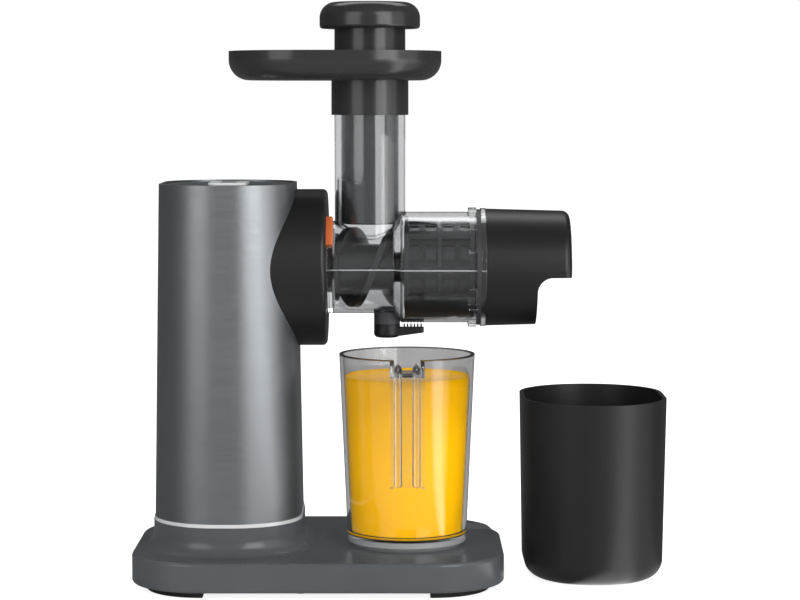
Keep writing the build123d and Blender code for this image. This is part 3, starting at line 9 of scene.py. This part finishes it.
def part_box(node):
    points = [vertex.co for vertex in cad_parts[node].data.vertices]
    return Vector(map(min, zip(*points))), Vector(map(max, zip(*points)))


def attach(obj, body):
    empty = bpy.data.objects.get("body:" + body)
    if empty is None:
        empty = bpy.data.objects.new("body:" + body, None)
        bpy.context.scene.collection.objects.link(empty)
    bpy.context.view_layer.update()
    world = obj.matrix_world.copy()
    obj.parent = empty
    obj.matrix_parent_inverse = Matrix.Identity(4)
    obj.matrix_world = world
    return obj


# Cold press juicer: finishes, juice, ribs of the jug's handle, stage, lights and camera, round the frame.
# All sizes are in metres.

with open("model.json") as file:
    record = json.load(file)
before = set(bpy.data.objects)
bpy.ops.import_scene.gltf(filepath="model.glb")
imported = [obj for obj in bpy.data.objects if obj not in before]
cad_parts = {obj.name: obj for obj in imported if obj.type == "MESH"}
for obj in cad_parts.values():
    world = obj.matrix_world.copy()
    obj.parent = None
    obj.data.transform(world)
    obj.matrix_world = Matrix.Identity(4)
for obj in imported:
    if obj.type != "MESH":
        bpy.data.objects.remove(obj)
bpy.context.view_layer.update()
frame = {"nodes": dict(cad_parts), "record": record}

# ---- camera, in pixels of the picture and metres
IMAGE_WIDTH = 800
MIDDLE_ROW = 300.0
HORIZON_ROW = 95.0
FOCAL_PIXELS = 2434.0
CAMERA_PLACE = (-0.0010, -1.5782, 0.3133)

# ---- finishes
CLOUD_SIZE = 0.035            # the faint clouds in every colour
NOISE_LOW, NOISE_HIGH = 0.3, 0.7
RELIEF_STRENGTH = 0.6
CLEAR_IOR = 1.49
CLEAR_EDGE_ROUND = 0.0012     # how softly the edges of clear plastic catch the light
DRUM_HIGHLIGHT_LINE = 0.0005            # half the width of the painted highlight line across the drum
HIGHLIGHT_LINE_MILKINESS = 0.45
JUICE_LINE_BLUR = 0.002       # over which the painted shade above the juice fades in, at the juice's level
RIM_SHADE_START = 0.0010       # below the jug's rim, where the painted shade of its dark edge begins
RIM_SHADE_FULL = 0.0006
FOOT_EDGE = 0.001             # over which the jug's milky foot clears
FOOT_MILKINESS = 0.5

# ---- juice in the jug
JUG_FOOT_RADIUS = 0.0388
JUG_WALL = 0.0026
JUG_BASE = 0.0070
JUICE_GAP = 0.0004
JUICE_LEVEL = 0.1303
JUICE_BOTTOM_ROUND = 0.0030
MENISCUS_RISE = 0.0012
MENISCUS_WIDTH = 0.0020
MENISCUS_MIDDLE = (0.0006, 0.0003)  # in from the wall and up from the level
JUICE_BOUNCED = (0.10, 0.085, 0.06)  # as other pieces see the juice
# painted light: how brightly the juice glows to the camera
JUICE_PAINTED_GLOW = 0.22

# ---- rounded ribs in the corners of the jug's handle
HANDLE_HALF_WIDTH = 0.0110
HANDLE_WALL = 0.0026
HANDLE_CHANNEL = 0.0059       # depth of the channel in front of its web
HANDLE_DROP = 0.0006          # from the jug's rim down to the handle's top
HANDLE_LENGTH = 0.0777
HANDLE_BEND = 0.0090
RIB_RADIUS = 0.0025
RIB_GAP = 0.00015
RIB_END_GAP = 0.0010          # between a rib's upper end and the jug's rim
RIB_BEND_LEAD = 0.0010        # the straight before the bend
RIB_BEND_STEP = 15            # degrees
RIB_SIDES = 20
ROUND_END = [math.radians(angle) for angle in (90, 75, 50, 25)]

# ---- stage
FLOOR_SIZE = 30.0
FLOOR_COLOUR = (0.82, 0.82, 0.82)
FLOOR_DIM = (0.07, 0.07, 0.07)      # as mirrors and clear plastic show it
FLOOR_ROUGHNESS = 0.9
FLOOR_LIFT = 0.85                   # the glow that makes it white to the camera
FLOOR_THROUGH_NEAR = 0.31           # its glow through clear plastic, from here to there behind the object
FLOOR_THROUGH_FAR = 0.60
FLOOR_NEAR = 1.7
FLOOR_FAR = 3.2
# painted reflections: patches of floor that glow to mirror rays only
PAINTED_REFLECTION_CENTRE = (0.08, 0.0)
PAINTED_REFLECTION_STRENGTH = 10.0
PAINTED_REFLECTION_PATCHES = (                           # azimuth in degrees to the right of the camera's side, and brightness
    (-72, 0.008), (-64, 0.03), (-34, 0.03), (-26, 0.022), (36, 0.022), (38, 0.14), (44, 0.26), (58, 0.26),
    (64, 0.08), (88, 0.06), (100, 0.008),
)
BACKDROP = 1.0                      # the room's light to the camera
ROOM_DIFFUSE = 0.36                 # on every surface
ROOM_THROUGH = 0.70                 # through clear plastic
ROOM_MIRRORED_FRONT = 0.17          # in mirror images, from the camera's side to the far side
ROOM_MIRRORED_BACK = 0.07
ROOM_FRONT, ROOM_BACK = -0.8, 0.2
LAMP_AIM = (0.0, 0.0, 0.18)


# ---------------------------------------------------------------- materials
def add_node(tree, kind, values=None, **settings):
    """A shader node with its settings and the values of its sockets."""
    made = tree.nodes.new(kind)
    for name, value in settings.items():
        setattr(made, name, value)
    for name, value in (values or {}).items():
        made.inputs[name].default_value = value
    return made


def calculate(tree, operation, *terms):
    """A Math node on numbers or sockets."""
    made = add_node(tree, "ShaderNodeMath", operation=operation)
    for term, socket in zip(terms, made.inputs):
        if isinstance(term, (int, float)):
            socket.default_value = term
        else:
            tree.links.new(term, socket)
    return made.outputs["Value"]


def grain(tree, size, stretch=(1.0, 1.0, 1.0), detail=3.0):
    """A noise value from 0 to 1 whose grains are about this size, in metres."""
    place = add_node(tree, "ShaderNodeTexCoord")
    mapping = add_node(tree, "ShaderNodeMapping", {"Scale": stretch})
    noise = add_node(tree, "ShaderNodeTexNoise", {"Scale": 1.0 / size, "Detail": detail, "Roughness": 0.55})
    tree.links.new(place.outputs["Object"], mapping.inputs["Vector"])
    tree.links.new(mapping.outputs["Vector"], noise.inputs["Vector"])
    return noise.outputs["Fac"]


def spread(tree, value, low, high):
    """A noise value drawn out between two limits."""
    limits = {"From Min": NOISE_LOW, "From Max": NOISE_HIGH, "To Min": low, "To Max": high}
    made = add_node(tree, "ShaderNodeMapRange", limits)
    tree.links.new(value, made.inputs["Value"])
    return made.outputs["Result"]


def blend(tree, factor, first, second):
    """A colour between two, by a factor."""
    made = add_node(tree, "ShaderNodeMix", data_type="RGBA")
    made.inputs["A"].default_value = (*first, 1.0)
    made.inputs["B"].default_value = (*second, 1.0)
    tree.links.new(factor, made.inputs["Factor"])
    return made.outputs["Result"]


def by_axis(tree, axis, low, high, start=0.0, end=1.0):
    """A value that goes from start to end between two places along an axis of the piece."""
    place = add_node(tree, "ShaderNodeTexCoord")
    split = add_node(tree, "ShaderNodeSeparateXYZ")
    limits = {"From Min": low, "From Max": high, "To Min": start, "To Max": end}
    rise = add_node(tree, "ShaderNodeMapRange", limits)
    tree.links.new(place.outputs["Object"], split.inputs["Vector"])
    tree.links.new(split.outputs[axis], rise.inputs["Value"])
    return rise.outputs["Result"]


def tinted(colour, share):
    """The colour made lighter or darker by a share of itself."""
    return tuple(min(1.0, part * (1.0 + share)) for part in colour)


def finish(name, colour, rough, size=0.0006, bump=0.00002, shade=0.06, stretch=(1.0, 1.0, 1.0), **sockets):
    """A finish: a colour with faint clouds, uneven roughness and a fine relief, grain by grain."""
    material = bpy.data.materials.new(name)
    material.use_nodes = True
    tree = material.node_tree
    shader = tree.nodes["Principled BSDF"]
    for socket, value in sockets.items():
        shader.inputs[socket.replace("_", " ")].default_value = value
    clouds = grain(tree, CLOUD_SIZE, detail=4.0)
    fine = grain(tree, size, stretch)
    colours = blend(tree, spread(tree, clouds, 0.0, 1.0), tinted(colour, -shade), tinted(colour, shade))
    tree.links.new(colours, shader.inputs["Base Color"])
    tree.links.new(spread(tree, fine, *rough), shader.inputs["Roughness"])
    relief = add_node(tree, "ShaderNodeBump", {"Strength": RELIEF_STRENGTH, "Distance": bump})
    tree.links.new(fine, relief.inputs["Height"])
    tree.links.new(relief.outputs["Normal"], shader.inputs["Normal"])
    return material


def clear(name, colour, rough, shadow, **sockets):
    """A clear plastic that bends light. Lamps reach what is behind it, dimmed by the shadow colour."""
    material = finish(
        name, colour, rough, size=0.02, bump=0.00005, shade=0.01,
        Transmission_Weight=1.0, IOR=CLEAR_IOR, **sockets,
    )
    tree = material.node_tree
    soft_edges = add_node(tree, "ShaderNodeBevel", {"Radius": CLEAR_EDGE_ROUND}, samples=6)
    tree.links.new(soft_edges.outputs["Normal"], tree.nodes["Bump"].inputs["Normal"])
    path = add_node(tree, "ShaderNodeLightPath")
    window = add_node(tree, "ShaderNodeBsdfTransparent", {"Color": (*shadow, 1.0)})
    either = add_node(tree, "ShaderNodeMixShader")
    tree.links.new(path.outputs["Is Shadow Ray"], either.inputs["Fac"])
    tree.links.new(tree.nodes["Principled BSDF"].outputs["BSDF"], either.inputs[1])
    tree.links.new(window.outputs["BSDF"], either.inputs[2])
    tree.links.new(either.outputs["Shader"], tree.nodes["Material Output"].inputs["Surface"])
    return material


def add_band(material, colour, low, high):
    """The finish turns to this colour between two heights, and keeps it above them."""
    tree = material.node_tree
    colours = tree.nodes["Principled BSDF"].inputs["Base Color"]
    mixed = blend(tree, by_axis(tree, "Z", low, high), colour, colour)
    tree.links.new(colours.links[0].from_socket, mixed.node.inputs["A"])
    tree.links.new(mixed, colours)


def drum_plastic():
    """Smoky clear plastic, with a thin milky line at the auger's height that is a painted highlight."""
    material = clear(
        "smoky_clear", (0.90, 0.91, 0.92), (0.01, 0.03), (0.80, 0.81, 0.82), Specular_IOR_Level=0.4,
    )
    tree = material.node_tree
    low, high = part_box("auger")
    highlight_height = (low.z + high.z) / 2
    below = by_axis(tree, "Z", highlight_height - DRUM_HIGHLIGHT_LINE, highlight_height)
    above = by_axis(tree, "Z", highlight_height, highlight_height + DRUM_HIGHLIGHT_LINE, 1.0, 0.0)
    # painted highlight: a thin milky line at the auger's height
    line = calculate(tree, "MULTIPLY", below, above)
    cleared = calculate(tree, "MULTIPLY_ADD", line, -HIGHLIGHT_LINE_MILKINESS, 1.0)
    tree.links.new(cleared, tree.nodes["Principled BSDF"].inputs["Transmission Weight"])
    return material


def jug_plastic():
    """Clear plastic with a milky foot, painted shade that darkens it above the juice and a thin band of
    painted shade at the rim.
    """
    material = clear(
        "jug_clear", (0.93, 0.935, 0.94), (0.005, 0.015), (0.97, 0.97, 0.97), Specular_IOR_Level=0.9,
    )
    tree = material.node_tree
    low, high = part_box("juice_jug")
    foot, rim = low.z + JUG_BASE, high.z
    # painted shade: the plastic is darker above the juice
    add_band(material, (0.86, 0.86, 0.855), JUICE_LEVEL - JUICE_LINE_BLUR, JUICE_LEVEL + JUICE_LINE_BLUR)
    # painted shade: a thin dark band just below the rim
    add_band(material, (0.10, 0.10, 0.10), rim - RIM_SHADE_START, rim - RIM_SHADE_FULL)
    cleared = by_axis(tree, "Z", foot - FOOT_EDGE, foot, 1.0 - FOOT_MILKINESS, 1.0)
    tree.links.new(cleared, tree.nodes["Principled BSDF"].inputs["Transmission Weight"])
    return material


def outer_finishes():
    """The finishes of the pieces that show."""
    return {
        "base_plastic": finish("slate_base", (0.103, 0.112, 0.120), (0.22, 0.28)),
        "tower_metal": finish(
            "brushed_slate", (0.300, 0.317, 0.333), (0.34, 0.42), size=0.0012, bump=0.00001, shade=0.03,
            stretch=(0.05, 0.05, 1.0), Metallic=0.9,
        ),
        "trim_metal": finish("bright_trim", (0.96, 0.97, 0.98), (0.16, 0.22), shade=0.01, Metallic=0.25),
        "hub_plastic": finish("hub_black", (0.014, 0.014, 0.0145), (0.32, 0.40)),
        "orange_plastic": finish("release_orange", (0.76, 0.17, 0.045), (0.30, 0.38)),
        "clear_plastic": drum_plastic(),
        "jug_clear": jug_plastic(),
        "black_plastic": finish("cap_black", (0.014, 0.014, 0.0145), (0.32, 0.40), Specular_IOR_Level=0.4),
        "container_plastic": finish(
            "container_black", (0.015, 0.015, 0.0155), (0.34, 0.42), size=0.0009, Specular_IOR_Level=0.4,
        ),
        "tray_plastic": finish("tray_grey", (0.034, 0.034, 0.035), (0.18, 0.24)),
        "white_plastic": finish("bezel_white", (0.96, 0.97, 0.98), (0.28, 0.34), shade=0.01),
        "button_plastic": finish("button_grey", (0.24, 0.25, 0.26), (0.36, 0.44)),
        "auger_plastic": finish("auger_grey", (0.017, 0.017, 0.0175), (0.28, 0.36)),
        "fine_steel": finish(
            "strainer_steel", (0.016, 0.016, 0.016), (0.36, 0.46), Specular_IOR_Level=0.25,
        ),
        "rubber": finish("foot_rubber", (0.018, 0.018, 0.018), (0.65, 0.80)),
        "silicone": finish("seal_silicone", (0.05, 0.05, 0.055), (0.45, 0.55)),
    }


def inner_finishes():
    """The finishes of the motor, the gears and the board."""
    return {
        "steel": finish(
            "turned_steel", (0.56, 0.56, 0.57), (0.22, 0.34), stretch=(0.1, 1.0, 1.0), Metallic=1.0,
        ),
        "cast_metal": finish(
            "cast_alloy", (0.50, 0.51, 0.52), (0.45, 0.60), size=0.0015, bump=0.00008, Metallic=1.0,
        ),
        "bronze": finish("sintered_bronze", (0.62, 0.42, 0.20), (0.35, 0.50), Metallic=1.0),
        "magnet": finish("ferrite", (0.10, 0.10, 0.11), (0.55, 0.70), size=0.0015),
        "board": finish("board_green", (0.03, 0.18, 0.07), (0.30, 0.45)),
    }


def make_finishes():
    """Every finish, by the name of its slot."""
    return outer_finishes() | inner_finishes()


def dress_nodes(finishes):
    """Each CAD piece gets its slot's finish."""
    for part in frame["record"]["subparts"]:
        materials = frame["nodes"][part["node"]].data.materials
        materials.clear()
        materials.append(finishes[part["material_slot"]])


# ---------------------------------------------------------------- pieces
def new_piece(name, shape, material, body):
    """A bmesh made into a piece that rides on a body."""
    bmesh.ops.remove_doubles(shape, verts=shape.verts, dist=1e-6)
    bmesh.ops.recalc_face_normals(shape, faces=shape.faces)
    mesh = bpy.data.meshes.new(name)
    shape.to_mesh(mesh)
    shape.free()
    for polygon in mesh.polygons:
        polygon.use_smooth = True
    mesh.materials.append(material)
    piece = bpy.data.objects.new(name, mesh)
    bpy.context.scene.collection.objects.link(piece)
    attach(piece, body)
    return piece


def spun(points, centre, steps=96):
    """A bmesh turned about a vertical axis from (radius, height) points."""
    shape = bmesh.new()
    corners = [shape.verts.new((centre[0] + radius, centre[1], height)) for radius, height in points]
    for first, second in zip(corners, corners[1:]):
        shape.edges.new((first, second))
    bmesh.ops.spin(
        shape, geom=shape.verts[:] + shape.edges[:], cent=(centre[0], centre[1], 0.0), axis=(0.0, 0.0, 1.0),
        angle=math.tau, steps=steps, use_merge=True,
    )
    return shape


def juice_finish():
    """Orange juice with a little pulp in it, lit up by a painted glow of its own. It casts no orange light
    or image on other pieces.
    """
    material = finish(
        "orange_juice", (1.0, 0.49, 0.001), (0.30, 0.42), size=0.0025, bump=0.00003, shade=0.02,
        Subsurface_Weight=0.10, Subsurface_Scale=0.008, Specular_IOR_Level=0.03,
        Emission_Color=(1.0, 0.50, 0.0, 1.0),
    )
    tree = material.node_tree
    shader = tree.nodes["Principled BSDF"]
    colour = shader.inputs["Base Color"].links[0].from_socket
    path = add_node(tree, "ShaderNodeLightPath")
    bounces = calculate(tree, "ADD", path.outputs["Diffuse Depth"], path.outputs["Glossy Depth"])
    bounced = calculate(tree, "GREATER_THAN", bounces, 0.5)
    # painted light: the juice glows to the camera and through clear plastic, but not in bounces
    glow = calculate(tree, "MULTIPLY_ADD", bounced, -JUICE_PAINTED_GLOW, JUICE_PAINTED_GLOW)
    tree.links.new(glow, shader.inputs["Emission Strength"])
    made = add_node(tree, "ShaderNodeMix", data_type="RGBA")
    made.inputs["B"].default_value = (*JUICE_BOUNCED, 1.0)
    tree.links.new(colour, made.inputs["A"])
    tree.links.new(bounced, made.inputs["Factor"])
    tree.links.new(made.outputs["Result"], shader.inputs["Base Color"])
    return material


def make_juice():
    """The juice, which stands just clear of the jug's wall and climbs it a little at the top."""
    low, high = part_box("juice_jug")
    centre = ((low.x + high.x) / 2, 0.0)
    rim_radius = (high.x - low.x) / 2
    floor = low.z + JUG_BASE + JUICE_GAP

    def radius(height):
        share = (height - low.z) / (high.z - low.z)
        return JUG_FOOT_RADIUS + share * (rim_radius - JUG_FOOT_RADIUS) - JUG_WALL - JUICE_GAP

    points = [(0.0, floor)]
    for turn in map(math.radians, (0, 30, 60, 90)):
        across = radius(floor) - JUICE_BOTTOM_ROUND * (1 - math.sin(turn))
        points.append((across, floor + JUICE_BOTTOM_ROUND * (1 - math.cos(turn))))
    top = JUICE_LEVEL + MENISCUS_RISE
    inward, upward = MENISCUS_MIDDLE
    points.append((radius(top), top))
    points.append((radius(top) - inward, JUICE_LEVEL + upward))
    points.append((radius(top) - MENISCUS_WIDTH, JUICE_LEVEL))
    points.append((0.0, JUICE_LEVEL))
    return new_piece("juice", spun(points, centre), juice_finish(), "juice_jug")


def hoop(shape, centre, along, radius):
    """The edges of a circle about a point, square to a direction that has no X in it."""
    across, along = Vector((1.0, 0.0, 0.0)), along.normalized()
    turned = Matrix((across, along.cross(across), along)).transposed()
    place = Matrix.Translation(centre) @ turned.to_4x4()
    made = bmesh.ops.create_circle(shape, segments=RIB_SIDES, radius=radius, matrix=place)
    return list({edge for corner in made["verts"] for edge in corner.link_edges})


def rod(shape, path, radius):
    """A round rod with round ends along points in one X plane, added to a bmesh."""
    first, last = (path[0] - path[1]).normalized(), (path[-1] - path[-2]).normalized()
    hoops = []
    for turn in ROUND_END:
        hoops.append((path[0] + first * radius * math.sin(turn), first, radius * math.cos(turn)))
    for index, point in enumerate(path):
        along = path[min(index + 1, len(path) - 1)] - path[max(index - 1, 0)]
        hoops.append((point, along, radius))
    for turn in reversed(ROUND_END):
        hoops.append((path[-1] + last * radius * math.sin(turn), last, radius * math.cos(turn)))
    loops = [hoop(shape, *each) for each in hoops]
    for low, high in zip(loops, loops[1:]):
        bmesh.ops.bridge_loops(shape, edges=low + high)


def make_handle_ribs(material):
    """Two clear rounded ribs that stiffen the corners of the handle's channel."""
    low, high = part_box("juice_jug")
    centre = (low.x + high.x) / 2
    inner = -(high.x - low.x) / 2 - RIB_RADIUS - RIB_END_GAP
    sunk = HANDLE_CHANNEL - RIB_RADIUS - RIB_GAP
    out, top = low.y + sunk, high.z - HANDLE_DROP - sunk
    bend = HANDLE_BEND - sunk
    bottom = high.z - HANDLE_DROP - HANDLE_LENGTH + RIB_RADIUS
    shape = bmesh.new()
    for side in (-1, 1):
        x = centre + side * (HANDLE_HALF_WIDTH - HANDLE_WALL - RIB_RADIUS - RIB_GAP)
        path = [Vector((x, inner, top)), Vector((x, out + bend + RIB_BEND_LEAD, top))]
        for angle in range(0, 91, RIB_BEND_STEP):
            turn = math.radians(angle)
            path.append(Vector((x, out + bend * (1 - math.sin(turn)), top - bend * (1 - math.cos(turn)))))
        path.append(Vector((x, out, bottom)))
        rod(shape, path, RIB_RADIUS)
    return new_piece("handle_ribs", shape, material, "juice_jug")


# ---------------------------------------------------------------- stage, lights, camera
def make_floor():
    """The pale floor. It is white to the camera, keeps the object's shadow and glows in patches to mirror
    rays as painted reflections.
    """
    shape = bmesh.new()
    bmesh.ops.create_grid(shape, x_segments=1, y_segments=1, size=FLOOR_SIZE / 2)
    mesh = bpy.data.meshes.new("floor")
    shape.to_mesh(mesh)
    shape.free()
    floor = bpy.data.objects.new("floor", mesh)
    bpy.context.scene.collection.objects.link(floor)
    material = bpy.data.materials.new("pale_floor")
    material.use_nodes = True
    tree = material.node_tree
    shader = tree.nodes["Principled BSDF"]
    shader.inputs["Roughness"].default_value = FLOOR_ROUGHNESS
    shader.inputs["Specular IOR Level"].default_value = 0.0
    shader.inputs["Emission Color"].default_value = (1.0, 1.0, 1.0, 1.0)
    path = add_node(tree, "ShaderNodeLightPath")
    shown = calculate(tree, "MAXIMUM", path.outputs["Is Glossy Ray"], path.outputs["Is Transmission Ray"])
    tree.links.new(blend(tree, shown, FLOOR_COLOUR, FLOOR_DIM), shader.inputs["Base Color"])
    # painted reflections, shown to mirror rays only
    mirrored = calculate(tree, "MULTIPLY", painted_reflections(tree), path.outputs["Is Glossy Ray"])
    behind = by_axis(tree, "Y", FLOOR_NEAR, FLOOR_FAR, FLOOR_THROUGH_NEAR, FLOOR_THROUGH_FAR)
    through = calculate(tree, "MULTIPLY_ADD", path.outputs["Is Transmission Ray"], behind, mirrored)
    glow = calculate(tree, "MULTIPLY_ADD", path.outputs["Is Camera Ray"], FLOOR_LIFT, through)
    tree.links.new(glow, shader.inputs["Emission Strength"])
    mesh.materials.append(material)
    return floor


def painted_reflections(tree):
    """Painted reflections: patches of the floor round the object glow to mirror rays only, by their
    direction from the jug.
    """
    place = add_node(tree, "ShaderNodeTexCoord")
    split = add_node(tree, "ShaderNodeSeparateXYZ")
    tree.links.new(place.outputs["Object"], split.inputs["Vector"])
    right = calculate(tree, "SUBTRACT", split.outputs["X"], PAINTED_REFLECTION_CENTRE[0])
    near = calculate(tree, "SUBTRACT", PAINTED_REFLECTION_CENTRE[1], split.outputs["Y"])
    turn = calculate(tree, "ARCTAN2", right, near)
    share = calculate(tree, "MULTIPLY_ADD", turn, 1 / math.tau, 0.5)
    ramp = add_node(tree, "ShaderNodeValToRGB")
    stops = ramp.color_ramp.elements
    stops.remove(stops[1])
    for index, (azimuth, level) in enumerate(PAINTED_REFLECTION_PATCHES):
        stop = stops.new(0.5 + azimuth / 360) if index else stops[0]
        stop.position = 0.5 + azimuth / 360
        stop.color = (level, level, level, 1.0)
    tree.links.new(share, ramp.inputs["Fac"])
    return calculate(tree, "MULTIPLY", ramp.outputs["Color"], PAINTED_REFLECTION_STRENGTH)


def make_world():
    """A backdrop that is white to the camera, and a dim room for the object."""
    world = bpy.data.worlds.new("studio")
    world.use_nodes = True
    bpy.context.scene.world = world
    tree = world.node_tree
    shader = tree.nodes["Background"]
    shader.inputs["Color"].default_value = (1.0, 1.0, 1.0, 1.0)
    path = add_node(tree, "ShaderNodeLightPath")
    place = add_node(tree, "ShaderNodeTexCoord")
    split = add_node(tree, "ShaderNodeSeparateXYZ")
    tree.links.new(place.outputs["Generated"], split.inputs["Vector"])
    mirrored = add_node(tree, "ShaderNodeMapRange", {
        "From Min": ROOM_FRONT, "To Min": ROOM_MIRRORED_FRONT,
        "From Max": ROOM_BACK, "To Max": ROOM_MIRRORED_BACK,
    })
    tree.links.new(split.outputs["Y"], mirrored.inputs["Value"])
    room = add_node(tree, "ShaderNodeMix", {"A": ROOM_DIFFUSE}, data_type="FLOAT")
    tree.links.new(mirrored.outputs["Result"], room.inputs["B"])
    tree.links.new(path.outputs["Is Glossy Ray"], room.inputs["Factor"])
    through = add_node(tree, "ShaderNodeMix", {"B": ROOM_THROUGH}, data_type="FLOAT")
    tree.links.new(path.outputs["Is Transmission Ray"], through.inputs["Factor"])
    tree.links.new(room.outputs["Result"], through.inputs["A"])
    final = add_node(tree, "ShaderNodeMix", {"B": BACKDROP}, data_type="FLOAT")
    tree.links.new(path.outputs["Is Camera Ray"], final.inputs["Factor"])
    tree.links.new(through.outputs["Result"], final.inputs["A"])
    tree.links.new(final.outputs["Result"], shader.inputs["Strength"])


def softbox(name, azimuth, distance, height, width, tall, power):
    """An area lamp aimed at the object. Azimuth is in degrees to the right of the camera's side."""
    data = bpy.data.lights.new(name, "AREA")
    data.shape = "RECTANGLE"
    data.size = width
    data.size_y = tall
    data.energy = power
    lamp = bpy.data.objects.new(name, data)
    angle = math.radians(azimuth)
    lamp.location = (distance * math.sin(angle), -distance * math.cos(angle), height)
    towards = Vector(LAMP_AIM) - lamp.location
    lamp.rotation_euler = towards.to_track_quat("-Z", "Y").to_euler()
    bpy.context.scene.collection.objects.link(lamp)
    return lamp


def make_lights():
    """Two large softboxes in front, brighter on the right, a small one at the side and a wide one behind."""
    softbox("key", azimuth=34, distance=1.9, height=0.80, width=1.2, tall=1.5, power=20)
    softbox("fill", azimuth=-38, distance=1.9, height=0.80, width=1.2, tall=1.3, power=9)
    softbox("side", azimuth=70, distance=0.95, height=0.45, width=0.5, tall=0.9, power=1.1)
    softbox("back", azimuth=180, distance=0.9, height=1.7, width=1.8, tall=0.7, power=9)


def make_camera():
    """A long lens, a little above the auger, that looks slightly down."""
    data = bpy.data.cameras.new("camera")
    data.sensor_fit = "HORIZONTAL"
    data.lens = FOCAL_PIXELS / IMAGE_WIDTH * data.sensor_width
    data.clip_end = 100.0
    camera = bpy.data.objects.new("camera", data)
    camera.location = CAMERA_PLACE
    pitch = math.atan((MIDDLE_ROW - HORIZON_ROW) / FOCAL_PIXELS)
    camera.rotation_euler = (math.radians(90) - pitch, 0.0, 0.0)
    bpy.context.scene.collection.objects.link(camera)
    bpy.context.scene.camera = camera


def main():
    """Dress the frame, add the pieces and set the stage."""
    bpy.context.scene.view_settings.view_transform = "Standard"
    finishes = make_finishes()
    dress_nodes(finishes)
    make_juice()
    make_handle_ribs(finishes["jug_clear"])
    make_floor()
    make_world()
    make_lights()
    make_camera()


main()
